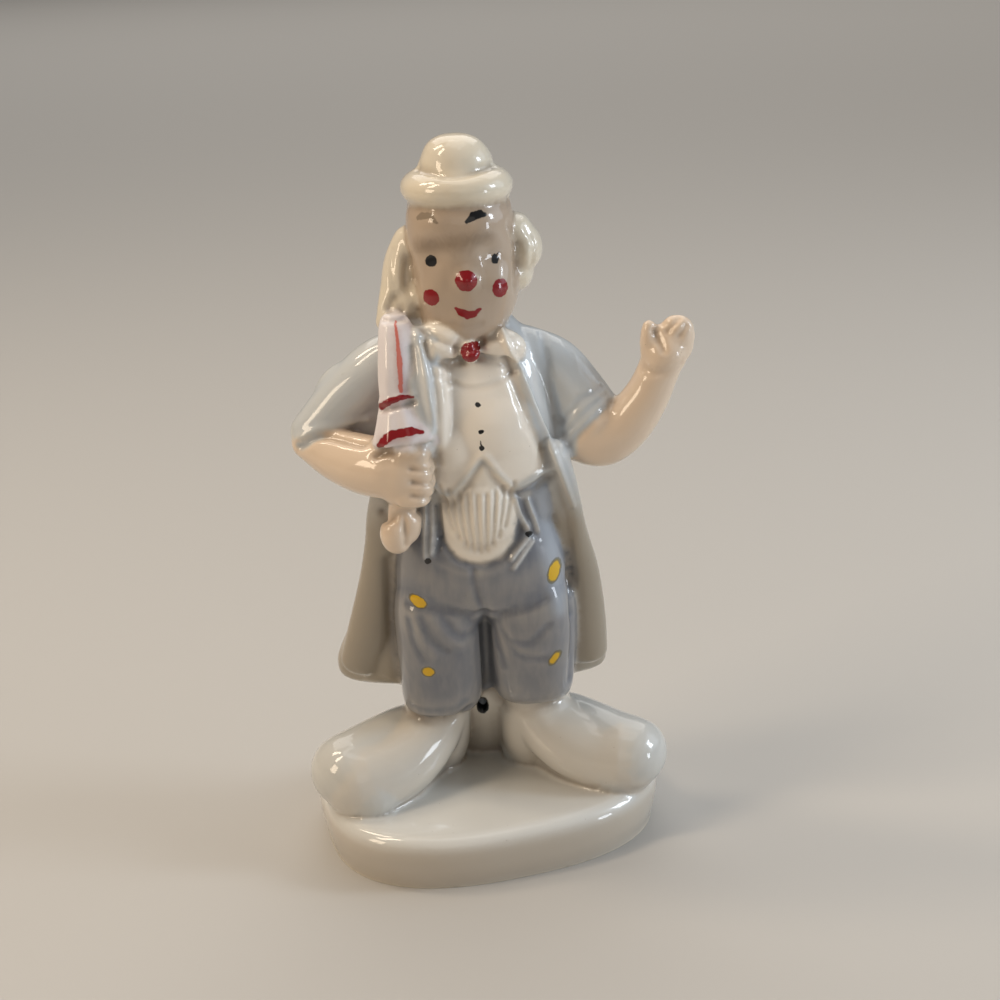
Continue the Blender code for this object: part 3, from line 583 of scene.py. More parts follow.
def finished(mesh, *modifiers):
    # the mesh after the given modifiers
    helper = bpy.data.objects.new("helper", mesh)
    bpy.context.scene.collection.objects.link(helper)
    for kind, settings in modifiers:
        modifier = helper.modifiers.new(kind.lower(), kind)
        for name, value in settings.items():
            setattr(modifier, name, value)
    graph = bpy.context.evaluated_depsgraph_get()
    result = bpy.data.meshes.new_from_object(helper.evaluated_get(graph))
    bpy.data.objects.remove(helper)
    return result


def readVectors(items, name, width=3):
    numbers = np.empty(len(items) * width)
    items.foreach_get(name, numbers)
    return numbers.reshape(-1, width)


def mergeClay():
    together = bmesh.new()
    for form in clay.values():
        mesh = bpy.data.meshes.new("form")
        form.to_mesh(mesh)
        together.from_mesh(mesh)
        bpy.data.meshes.remove(mesh)
    mesh = bpy.data.meshes.new("clay")
    together.to_mesh(mesh)
    together.free()
    return finished(
        mesh,
        ("REMESH", {"mode": "VOXEL", "voxel_size": casting["grain"], "adaptivity": 0.0}),
        ("SMOOTH", {"factor": 0.5, "iterations": casting["softening"]}),
    )


def workWithTools(mesh):
    places = readVectors(mesh.vertices, "co")
    normals = readVectors(mesh.vertices, "normal")
    corners = [tuple(face.vertices) for face in mesh.polygons]
    skin = BVHTree.FromPolygons([Vector(place) for place in places], corners)
    moves = np.zeros(len(places))

    def press(path, wide, height):
        reach = 2.2 * wide
        low = np.min(path, axis=0) - reach
        high = np.max(path, axis=0) + reach
        near = np.flatnonzero(((places > low) & (places < high)).all(axis=1))
        nearest = np.full(len(near), reach)
        for start, end in zip(path, path[1:] or path):
            along = end - start
            offset = places[near] - start
            share = np.clip(offset @ along / max(along @ along, 1e-12), 0, 1)
            gap = np.linalg.norm(offset - share[:, None] * along, axis=1)
            nearest = np.minimum(nearest, gap)
        moves[near] += height / 1000 * np.exp(-math.log(2) * (nearest / wide) ** 2)

    def onSkin(x, z):
        hit = skin.ray_cast(spot(x, -80, z), Vector((0, 1, 0)))[0]
        return None if hit is None else np.array(hit)

    def runLine(width, height, points):
        hits = [onSkin(x, z) for x, z in smoothPath(points, 8)]
        path = [hit for hit in hits if hit is not None]
        if path:
            press(path, width / 2000, height)

    for reach, height, middles in thumbWork.values():
        for x, z in middles:
            press([onSkin(x, z)], reach / 1000, height)
    for width, height, points in toolLines.values():
        runLine(width, height, points)
    for i in range(pleats["count"]):
        x = (i - (pleats["count"] - 1) / 2) * pleats["spacing"]
        top = (pleats["middle"] + x, pleats["top"] + 0.03 * x * x)
        foot = (pleats["middle"] + x * pleats["gather"], pleats["foot"] + 0.09 * x * x)
        runLine(pleats["width"], pleats["cut"], (top, foot))
    places += normals * moves[:, None]
    mesh.vertices.foreach_set("co", places.ravel())
    mesh.update()


def biggestShellOnly(body):
    # in the faces' own order, so that each run leaves the points in the same order
    seen = set()
    shells = []
    for first in body.faces:
        if first in seen:
            continue
        seen.add(first)
        shell = [first]
        for face in shell:
            for edge in face.edges:
                for other in edge.link_faces:
                    if other not in seen:
                        seen.add(other)
                        shell.append(other)
        shells.append(shell)
    shells.sort(key=len)
    crumbs = [face for shell in shells[:-1] for face in shell]
    bmesh.ops.delete(body, geom=crumbs, context="FACES")


def cutLevel(mesh):
    body = bmesh.new()
    body.from_mesh(mesh)
    biggestShellOnly(body)
    cut = bmesh.ops.bisect_plane(
        body,
        geom=body.verts[:] + body.edges[:] + body.faces[:],
        plane_co=(0, 0, 0),
        plane_no=(0, 0, -1),
        clear_outer=True,
    )
    edges = [item for item in cut["geom_cut"] if isinstance(item, bmesh.types.BMEdge)]
    foot = bmesh.ops.edgeloop_fill(body, edges=edges)["faces"]
    bmesh.ops.triangulate(body, faces=foot)
    bmesh.ops.recalc_face_normals(body, faces=body.faces)
    body.to_mesh(mesh)
    body.free()


def makeVentPeg(mesh):
    skin = bmesh.new()
    skin.from_mesh(mesh)
    tree = BVHTree.FromBMesh(skin)
    skin.free()
    mouth = tree.ray_cast(spot(vent["x"], -80, vent["z"]), Vector((0, 1, 0)))[0]
    peg = bmesh.new()
    bmesh.ops.create_cone(
        peg, cap_ends=True, segments=32, radius1=0.5, radius2=0.5, depth=vent["depth"] * 2
    )
    bmesh.ops.rotate(peg, verts=peg.verts, matrix=Matrix.Rotation(math.pi / 2, 3, "X"))
    bmesh.ops.scale(peg, vec=(vent["width"], 1, vent["height"]), verts=peg.verts)
    bmesh.ops.translate(peg, vec=mouth, verts=peg.verts)
    shape = bpy.data.meshes.new("ventPeg")
    peg.to_mesh(shape)
    peg.free()
    cutter = bpy.data.objects.new("ventPeg", shape)
    cutter.hide_render = True
    bpy.context.scene.collection.objects.link(cutter)
    return cutter


def inFixedOrder(mesh):
    # the boolean leaves its points and faces in a new order each run, which the decimation follows
    places = readVectors(mesh.vertices, "co")
    order = np.lexsort(places.T)
    rank = np.argsort(order).tolist()
    faces = []
    for face in mesh.polygons:
        corners = [rank[corner] for corner in face.vertices]
        first = corners.index(min(corners))
        faces.append(corners[first:] + corners[:first])
    ordered = bpy.data.meshes.new("casting")
    ordered.from_pydata(places[order].tolist(), [], sorted(faces))
    return ordered


print("forms")
for makePart in (
    makePlinth,
    makeShoes,
    makeTrousers,
    makeCoat,
    makeWaistcoat,
    makeArms,
    makeUmbrella,
    makeHead,
    makeHat,
):
    makePart()

print("merged clay")
castMesh = mergeClay()
print("tool work on", len(castMesh.vertices), "points")
workWithTools(castMesh)
cutLevel(castMesh)
ventPeg = makeVentPeg(castMesh)
castMesh = finished(
    castMesh, ("BOOLEAN", {"operation": "DIFFERENCE", "object": ventPeg, "solver": "EXACT"})
)
bpy.data.objects.remove(ventPeg)
castMesh = inFixedOrder(castMesh)
faceCount = sum(len(face.vertices) - 2 for face in castMesh.polygons)
if faceCount > casting["triangles"]:
    castMesh = finished(castMesh, ("DECIMATE", {"ratio": casting["triangles"] / faceCount}))
print("casting has", sum(len(face.vertices) - 2 for face in castMesh.polygons), "triangles")

# Painted areas of the front as outlines in (x, z), over the kinds that the forms give.
frontAreas = {
    "skin": (
        (22.5, 100), (26, 103.5), (31.5, 107.8), (44, 112), (44, 88), (24.5, 91),
        (22.5, 95),
    ),
    "coat": (
        (16, 96), (22, 95), (22.5, 100), (26, 103.5), (31.5, 107.8), (28, 114),
        (16, 110),
    ),
    "waistcoat": (
        (-7.5, 118.5), (-7.3, 106), (-8.2, 96), (-8, 91), (-5.5, 90.5), (1.8, 98.4),
        (8.6, 91.4), (15.2, 93.8), (15, 97.5), (12.3, 107), (10.2, 116), (8.6, 119),
        (3, 119),
    ),
    "shirt": (
        (-7.6, 90), (-5.5, 89.5), (1.8, 97.4), (8.4, 91), (8.8, 84), (7.6, 78),
        (5, 74.6), (0, 73.4), (-4.6, 74.8), (-7.2, 79), (-7.8, 84),
    ),
}

paints = {
    "coatPaint": {"coat": 1.0},
    "trouserPaint": {"trousers": 1.0},
    "fleshPaint": {"skin": 1.0, "ankles": 0.15},
    "facePaint": {"face": 0.85},
    "shirtPaint": {"shirt": 0.8, "waistcoat": 1.0, "bow": 0.9},
    "plinthPaint": {"plinth": 1.0},
    "shoePaint": {"shoes": 1.0, "ankles": 0.8},
    "umbrellaPaint": {"umbrella": 1.0},
}


# Soft strokes: painted shade under the canopy and the right shoe, between the ankles, beside the
# waistcoat and across the eyes; a painted highlight on the strap ridges and painted sheen on the
# right hip; pale straps and lapels; and where the red bled. Each gives the reach of the soft
# edge, the strength, then rows as for the hard strokes below.
softStrokes = {
    # painted shade, with some pooled glaze: under the canopy, beside the waistcoat, under the
    # right shoe, round the vent and in the groove right of the waistcoat
    "poolAndShadeStrokes": (
        1.3,
        0.28,
        (
            (-19.8, 100.6, -9, 101.8, 2.2, 2.6), (-8.5, 104, -8.2, 94, 0.8, 1.4),
            (2, 17, 20, 14.6, 1.2, 2), (20, 14.6, 36, 14.4, 2, 1.4),
            (0.3, 34, 0.3, 24, 2, 3), (9.5, 115, 13.2, 103, 0.5, 0.7),
            (13.2, 103, 16.8, 94, 0.7, 0.8),
        ),
    ),
    # painted shade across the eye sockets, below the brows
    "eyeShadeBand": (
        1.2,
        0.6,
        ((-9, 143.2, -5.5, 143.8, 2.8, 2.8), (-5.5, 143.8, 5.5, 145, 2.6, 2.4)),
    ),
    # painted sheen on the right hip and leg, and a paler blue on the left strap
    "paleStrapAndHipSheen": (
        1.8,
        0.75,
        (
            (13.6, 90, 16.2, 76, 4.6, 4.2), (16.2, 76, 17.4, 60, 4.2, 2),
            (-10.4, 88, -10.9, 76.5, 1.6, 1.6),
        ),
    ),
    "lapelWash": (
        1.5,
        0.5,
        (
            (-9.3, 119, -8.8, 98, 1.6, 1.6), (12.2, 120, 15.2, 108, 2.6, 2.8),
            (15.2, 108, 18.6, 96, 2.8, 2.2),
        ),
    ),
    # painted highlight lines along the strap ridges
    "strapHighlight": (
        0.4,
        0.9,
        (
            (-11.3, 88, -11.7, 75.5, 0.7, 0.7), (-9.5, 88, -10.2, 76.5, 0.6, 0.6),
            (8.5, 88, 9.4, 84.2, 0.6, 0.6), (9.4, 84.2, 11, 80.7, 0.6, 0.6),
            (11.1, 87.2, 12.6, 82.2, 0.6, 0.6), (12.6, 82.2, 13.2, 79.8, 0.6, 0.5),
            (11, 78.4, 7.2, 74.3, 0.6, 0.6), (12, 77.8, 7.6, 72.3, 0.5, 0.5),
        ),
    ),
    "redBleed": (
        0.9,
        0.45,
        (
            (-14.7, 126.5, -14.1, 114.5, 1, 1.8), (-18, 112, -13, 113.2, 1.4, 1.2),
            (-19, 104.4, -11, 106.4, 1.6, 1.4),
        ),
    ),
}


def insideOutline(x, z, outline):
    inside = np.zeros(len(x), bool)
    for (x1, z1), (x2, z2) in zip(outline, outline[1:] + outline[:1]):
        crosses = (z1 > z) != (z2 > z)
        inside ^= crosses & (x < (x2 - x1) * (z - z1) / ((z2 - z1) or 1e-9) + x1)
    return inside


def spreadOut(values, edges, rounds):
    # the mean with the neighbours, again and again
    count = len(values)
    ones = np.bincount(edges.ravel(), minlength=count) + 1.0
    for _ in range(rounds):
        total = values.copy()
        np.add.at(total, edges[:, 0], values[edges[:, 1]])
        np.add.at(total, edges[:, 1], values[edges[:, 0]])
        values = total / (ones if values.ndim == 1 else ones[:, None])
    return values


# Soft strokes that stay on one kind of surface.
strokesOnly = {"paleStrapAndHipSheen": "trousers", "strapHighlight": "trousers", "lapelWash": "coat"}

# Depth in metres at which a hollow counts as full, near and far, and where pooled glaze and
# painted shade are less.
hollows = {"near": 0.00028, "far": 0.0011, "shares": {"plinth": 0.15, "coat": 0.7}}


def keepMask(mesh, name, mask):
    mesh.attributes.new(name, "FLOAT", "POINT").data.foreach_set("value", mask)


def underStrokes(x, z, rows, reach):
    mask = np.zeros(len(x))
    for x1, z1, x2, z2, start, end in rows:
        dx, dz = x2 - x1, z2 - z1
        share = np.clip(((x - x1) * dx + (z - z1) * dz) / (dx * dx + dz * dz), 0, 1)
        gap = np.hypot(x - x1 - share * dx, z - z1 - share * dz)
        gap -= (start + (end - start) * share) / 2
        mask = np.maximum(mask, np.clip((reach - gap) / (2 * reach), 0, 1))
    return mask * mask * (3 - 2 * mask)


def markPaints(mesh):
    places = readVectors(mesh.vertices, "co")
    normals = readVectors(mesh.vertices, "normal")
    edges = readVectors(mesh.edges, "vertices", 2).astype(int)
    kinds, points, corners, kindOfFace = list(clay), [], [], []
    for number, kind in enumerate(kinds):
        start = len(points)
        points += [vert.co.copy() for vert in clay[kind].verts]
        clay[kind].verts.index_update()
        for face in clay[kind].faces:
            corners.append([start + vert.index for vert in face.verts])
            kindOfFace.append(number)
    forms = BVHTree.FromPolygons(points, corners)
    kindOf = np.array([kindOfFace[forms.find_nearest(Vector(place))[2]] for place in places])
    x = places[:, 0] * 1000 + casting["plinthMiddle"][0]
    z = places[:, 2] * 1000
    front = (places[:, 1] < casting["frontLimit"]) & (normals[:, 1] < 0.2)
    umbrellaKind = kinds.index("umbrella")
    for area, outline in frontAreas.items():
        if area not in kinds:
            kinds.append(area)
        inside = insideOutline(x, z, outline) & front & (kindOf != umbrellaKind)
        if area in ("skin", "coat"):  # the cuff: only sleeve and forearm meet there
            inside &= np.isin(kindOf, (kinds.index("skin"), kinds.index("coat")))
        kindOf[inside] = kinds.index(area)
    # what the polygons leave of the waistcoat's own forms is coat above and trousers below
    for area in ("waistcoat", "shirt"):
        rest = (kindOf == kinds.index(area)) & ~insideOutline(x, z, frontAreas[area])
        kindOf[rest & (z >= 91)] = kinds.index("coat")
        kindOf[rest & (z < 91)] = kinds.index("trousers")
    for name, members in paints.items():
        mask = np.zeros(len(places))
        for kind, strength in members.items():
            mask[kindOf == kinds.index(kind)] = strength
        keepMask(mesh, name, spreadOut(mask, edges, 2))
    # painted shade on the coat's tails: a darker beige, more and more towards the hem
    tailShade = (kindOf == kinds.index("coat")) & (normals[:, 1] < 0.25)
    keepMask(mesh, "tailShadePaint", spreadOut(tailShade * np.clip((96 - z) / 16, 0, 1), edges, 4))
    reached = places[:, 1] < casting["brushLimit"]
    for name, (reach, strength, rows) in softStrokes.items():
        mask = strength * underStrokes(x, z, rows, reach) * reached
        if name in strokesOnly:
            mask *= kindOf == kinds.index(strokesOnly[name])
        keepMask(mesh, name, spreadOut(mask, edges, 1))
    # the plinth's upright sides darker than its top: painted shade
    side = (kindOf == kinds.index("plinth")) * np.clip(1 - 1.5 * normals[:, 2], 0, 1)
    keepMask(mesh, "plinthSideShade", spreadOut(side, edges, 3))
    # how deep a hollow each point lies in, near and far, which sets the pooled glaze and painted
    # shade there
    soft = spreadOut(places, edges, 10)
    near = ((soft - places) * normals).sum(axis=1) / hollows["near"]
    soft = spreadOut(soft, edges, 60)
    far = ((soft - places) * normals).sum(axis=1) / hollows["far"]
    hollow = np.clip(np.maximum(near, far), 0, 1)
    for kind, share in hollows["shares"].items():
        hollow[kindOf == kinds.index(kind)] *= share
    keepMask(mesh, "hollow", spreadOut(hollow, edges, 3))
    keepMask(mesh, "crest", spreadOut(np.clip(-near, 0, 1), edges, 2))


print("paints")
markPaints(castMesh)
for form in clay.values():
    form.free()


def newGroup(name, inputs, outputs):
    group = bpy.data.node_groups.new(name, "ShaderNodeTree")
    for label, kind, value in inputs:
        socket = group.interface.new_socket(label, in_out="INPUT", socket_type=kind)
        if value is not None:
            socket.default_value = value
    for label, kind in outputs:
        group.interface.new_socket(label, in_out="OUTPUT", socket_type=kind)
    return group, group.nodes.new("NodeGroupInput"), group.nodes.new("NodeGroupOutput")


def feed(tree, socket, value):
    # a link from another node, or a value of its own
    if isinstance(value, bpy.types.NodeSocket):
        tree.links.new(value, socket)
    else:
        socket.default_value = value


def addMath(tree, operation, *values, clamp=False):
    node = tree.nodes.new("ShaderNodeMath")
    node.operation = operation
    node.use_clamp = clamp
    for socket, value in zip(node.inputs, values):
        feed(tree, socket, value)
    return node.outputs[0]


def addVector(tree, operation, *values, output=0):
    node = tree.nodes.new("ShaderNodeVectorMath")
    node.operation = operation
    for socket, value in zip(node.inputs, values):
        feed(tree, socket, value)
    return node.outputs[output]


def addRange(tree, value, low, high, toLow=0.0, toHigh=1.0):
    node = tree.nodes.new("ShaderNodeMapRange")
    node.interpolation_type = "SMOOTHSTEP"
    labels = ("Value", "From Min", "From Max", "To Min", "To Max")
    for label, given in zip(labels, (value, low, high, toLow, toHigh)):
        feed(tree, node.inputs[label], given)
    return node.outputs["Result"]


def addNoise(tree, vector, scale, detail=2.0, roughness=0.5):
    node = tree.nodes.new("ShaderNodeTexNoise")
    tree.links.new(vector, node.inputs["Vector"])
    node.inputs["Scale"].default_value = scale
    node.inputs["Detail"].default_value = detail
    node.inputs["Roughness"].default_value = roughness
    return node


def addMix(tree, factor, below, above):
    node = tree.nodes.new("ShaderNodeMix")
    node.data_type = "RGBA"
    for number, value in ((0, factor), (6, below), (7, above)):
        feed(tree, node.inputs[number], value)
    return node.outputs[2]


def makePaintedSpot():
    group, given, made = newGroup(
        "paintedSpot",
        (
            ("Vector", "NodeSocketVector", None),
            ("Place", "NodeSocketVector", (0, 0, 0)),
            ("Half Width", "NodeSocketFloat", 0.001),
            ("Half Height", "NodeSocketFloat", 0.001),
            ("Turn", "NodeSocketFloat", 0.0),
            ("Edge", "NodeSocketFloat", 0.0001),
        ),
        (("Spot", "NodeSocketFloat"), ("Rim", "NodeSocketFloat")),
    )
    offset = addVector(group, "SUBTRACT", given.outputs["Vector"], given.outputs["Place"])
    rotate = group.nodes.new("ShaderNodeVectorRotate")
    rotate.rotation_type = "Y_AXIS"
    group.links.new(offset, rotate.inputs["Vector"])
    group.links.new(given.outputs["Turn"], rotate.inputs["Angle"])
    parts = group.nodes.new("ShaderNodeSeparateXYZ")
    group.links.new(rotate.outputs[0], parts.inputs[0])
    across = addMath(group, "DIVIDE", parts.outputs["X"], given.outputs["Half Width"])
    up = addMath(group, "DIVIDE", parts.outputs["Z"], given.outputs["Half Height"])
    squares = [addMath(group, "POWER", share, 2.0) for share in (across, up)]
    away = addMath(group, "SQRT", addMath(group, "ADD", *squares))
    # the way to the edge in metres, roughly
    beyond = addMath(group, "SUBTRACT", away, 1.0)
    gap = addMath(group, "MULTIPLY", beyond, given.outputs["Half Width"])
    edge = given.outputs["Edge"]
    mask = addRange(group, gap, edge, addMath(group, "MULTIPLY", edge, -1.0))
    group.links.new(mask, made.inputs["Spot"])
    rim = addMath(group, "ABSOLUTE", gap)
    rim = addRange(group, rim, addMath(group, "MULTIPLY", edge, 3.0), edge)
    group.links.new(rim, made.inputs["Rim"])
    return group


def makePaintedStroke():
    group, given, made = newGroup(
        "paintedStroke",
        (
            ("Vector", "NodeSocketVector", None),
            ("From", "NodeSocketVector", (0, 0, 0)),
            ("To", "NodeSocketVector", (0, 0, 0.001)),
            ("Start Width", "NodeSocketFloat", 0.0005),
            ("End Width", "NodeSocketFloat", 0.0005),
            ("Edge", "NodeSocketFloat", 0.0001),
        ),
        (("Stroke", "NodeSocketFloat"),),
    )
    flat = (1, 0, 1)  # depth is left out, so a stroke lies on whatever is behind it
    offset = addVector(group, "SUBTRACT", given.outputs["Vector"], given.outputs["From"])
    offset = addVector(group, "MULTIPLY", offset, flat)
    along = addVector(group, "SUBTRACT", given.outputs["To"], given.outputs["From"])
    along = addVector(group, "MULTIPLY", along, flat)
    share = addMath(
        group,
        "DIVIDE",
        addVector(group, "DOT_PRODUCT", offset, along, output=1),
        addVector(group, "DOT_PRODUCT", along, along, output=1),
        clamp=True,
    )
    scaled = group.nodes.new("ShaderNodeVectorMath")
    scaled.operation = "SCALE"
    group.links.new(along, scaled.inputs[0])
    group.links.new(share, scaled.inputs["Scale"])
    gap = addVector(
        group, "LENGTH", addVector(group, "SUBTRACT", offset, scaled.outputs[0]), output=1
    )
    growth = addMath(group, "SUBTRACT", given.outputs["End Width"], given.outputs["Start Width"])
    width = addMath(
        group, "ADD", given.outputs["Start Width"], addMath(group, "MULTIPLY", growth, share)
    )
    gap = addMath(group, "SUBTRACT", gap, addMath(group, "MULTIPLY", width, 0.5))
    edge = given.outputs["Edge"]
    mask = addRange(group, gap, edge, addMath(group, "MULTIPLY", edge, -1.0))
    group.links.new(mask, made.inputs["Stroke"])
    return group


def makeBrushedGlaze():
    # washy colour, ripples and pinholes of a brushed and dipped glaze
    group, given, made = newGroup(
        "brushedGlaze",
        (
            ("Vector", "NodeSocketVector", None),
            ("Wash Size", "NodeSocketFloat", 110.0),
            ("Streak Size", "NodeSocketFloat", 420.0),
            ("Ripple Size", "NodeSocketFloat", 190.0),
            ("Speck Size", "NodeSocketFloat", 900.0),
        ),
        (
            ("Wash", "NodeSocketFloat"),
            ("Streaks", "NodeSocketFloat"),
            ("Ripple", "NodeSocketFloat"),
            ("Specks", "NodeSocketFloat"),
        ),
    )
    vector = given.outputs["Vector"]
    wash = addNoise(group, vector, 110.0, 3.0, 0.55)
    group.links.new(given.outputs["Wash Size"], wash.inputs["Scale"])
    group.links.new(addRange(group, wash.outputs["Fac"], 0.3, 0.7), made.inputs["Wash"])
    drawn = addVector(group, "MULTIPLY", vector, (1.0, 1.0, 0.22))  # brushed up and down
    streaks = addNoise(group, drawn, 420.0, 2.0, 0.6)
    group.links.new(given.outputs["Streak Size"], streaks.inputs["Scale"])
    group.links.new(addRange(group, streaks.outputs["Fac"], 0.35, 0.7), made.inputs["Streaks"])
    ripple = addNoise(group, vector, 190.0, 1.0, 0.4)
    group.links.new(given.outputs["Ripple Size"], ripple.inputs["Scale"])
    group.links.new(ripple.outputs["Fac"], made.inputs["Ripple"])
    specks = group.nodes.new("ShaderNodeTexVoronoi")
    group.links.new(vector, specks.inputs["Vector"])
    group.links.new(given.outputs["Speck Size"], specks.inputs["Scale"])
    few = addMath(group, "GREATER_THAN", specks.outputs["Color"], 0.86)
    dot = addRange(group, specks.outputs["Distance"], 0.16, 0.05)
    group.links.new(addMath(group, "MULTIPLY", dot, few), made.inputs["Specks"])
    return group


glaze = {
    "cream": (0.79, 0.70, 0.55, 1),
    "creamCool": (0.75, 0.68, 0.56, 1),
    "plinth": (0.72, 0.71, 0.67, 1),
    # painted shade on the plinth's sides
    "plinthSide": (0.55, 0.49, 0.41, 1),
    "coat": (0.57, 0.61, 0.64, 1),
    # painted shade on the coat's tails
    "tailShade": (0.36, 0.31, 0.24, 1),
    "trousers": (0.168, 0.18, 0.212, 1),
    "lapel": (0.84, 0.85, 0.84, 1),
    # painted sheen on the right hip, and the left strap's paler blue
    "paleStrapAndHipSheen": (0.42, 0.46, 0.52, 1),
    # painted highlight on the strap ridges
    "strapHighlight": (0.88, 0.88, 0.86, 1),
    # the trousers' hollows: pooled blue glaze and painted shade
    "trousersPoolAndShade": (0.055, 0.058, 0.062, 1),
    "flesh": (0.78, 0.62, 0.47, 1),
    # the face is darker than its own cream: painted shade over the whole face
    "face": (0.46, 0.342, 0.25, 1),
    "shirt": (0.93, 0.85, 0.74, 1),
    "shoes": (0.62, 0.61, 0.57, 1),
    "umbrella": (0.84, 0.78, 0.78, 1),
    # brown of glaze pooled in the hollows and of painted shade; the specks take it too
    "poolAndShade": (0.20, 0.135, 0.08, 1),
    "red": (0.26, 0.004, 0.008, 1),
    "thinRed": (0.64, 0.18, 0.14, 1),
    "black": (0.006, 0.006, 0.007, 1),
    "brow": (0.29, 0.225, 0.16, 1),
    "yellow": (0.74, 0.44, 0.004, 1),
    "outline": (0.14, 0.13, 0.07, 1),
    # painted light inside the vent
    "ventInsideLit": (0.42, 0.47, 0.52, 1),
    "biscuit": (0.66, 0.60, 0.50, 1),
}

finish = {
    "roughness": 0.30,
    "coatRoughness": 0.03,
    "coatIor": 1.5,
    "ior": 1.45,
    "sheen": 0.2,
    "ripple": 0.35,
    "rippleDepth": 0.0002,
    "shake": 0.00055,  # how far the painted edges wander
    "streaksThin": 0.07,  # how much of the blue washes the streaks and the crests take away
    "crestsThin": 0.35,
    "poolAndShadeCurve": 1.3,
    "poolAndShadeStrength": 0.62,
    "specks": 0.35,
    "rims": 0.8,
}

# Painted marks: x, z, half width, half height, turn in degrees.
spots = {
    "red": (
        (0.4, 136.5, 2.3, 2.25, 0), (-7.1, 132.7, 1.75, 1.8, 0), (7.4, 134.1, 1.65, 1.95, 0),
        (0.5, 121.2, 2.1, 2.1, 0),
    ),
    "black": (
        (-6.7, 140.3, 1.3, 1.15, 0), (6.6, 140.1, 0.8, 1, 10), (1.5, 110, 0.6, 0.55, 0),
        (1.9, 104.5, 0.6, 0.5, 0), (1.9, 100.9, 0.6, 0.65, 0), (-11.3, 74.4, 0.8, 0.75, 0),
        (11.2, 79.4, 0.85, 0.65, 0),
    ),
    "yellow": (
        (-14.1, 64.3, 2.1, 1.3, -32), (-13, 46.1, 1.45, 1.3, 0), (16.5, 69.5, 1.45, 2.6, -14),
        (15.9, 47.8, 0.95, 2, -34),
    ),
}

# Brush strokes: x, z to x, z, then the width at each end, in millimetres.
strokes = {
    "red": (
        (-2, 130.6, -1, 129.8, 0.8, 1.5), (-1, 129.8, 0.4, 129.2, 1.5, 1.9),
        (0.4, 129.2, 1.8, 129.4, 1.9, 1.4), (1.8, 129.4, 3.1, 130.2, 1.4, 0.5),
        (-18.8, 111.1, -16.8, 112.7, 1.5, 1.5), (-16.8, 112.7, -14.7, 113.3, 1.5, 1.2),
        (-14.7, 113.3, -12, 113.2, 1.2, 0.6), (-19.6, 103.4, -18.3, 104.8, 1.4, 1.7),
        (-18.3, 104.8, -16.7, 106, 1.7, 1.8), (-16.7, 106, -12.5, 106.6, 1.8, 1.6),
        (-12.5, 106.6, -10.4, 106, 1.6, 0.7),
    ),
    "black": (
        (1.2, 148.5, 2.5, 149.5, 0.7, 1.7), (2.5, 149.5, 3.8, 149.9, 1.7, 1.7),
        (3.8, 149.9, 4.9, 149.6, 1.7, 0.9), (2, 101.2, 1.7, 102.5, 0.5, 0.2),
        (6.9, 140.6, 7.6, 141.4, 0.5, 0.2),
    ),
    "thinRed": (
        (-14.9, 127.8, -14.5, 123.9, 0.5, 0.8), (-14.5, 123.9, -14.3, 120, 0.8, 1.1),
        (-14.3, 120, -14.4, 114.6, 1.1, 0.8),
    ),
    "brow": (
        (-8.9, 149.1, -7.7, 149.8, 0.8, 1.3), (-7.7, 149.8, -6.3, 149.9, 1.3, 1.2),
        (-6.3, 149.9, -5, 148.5, 1.2, 0.6),
    ),
}

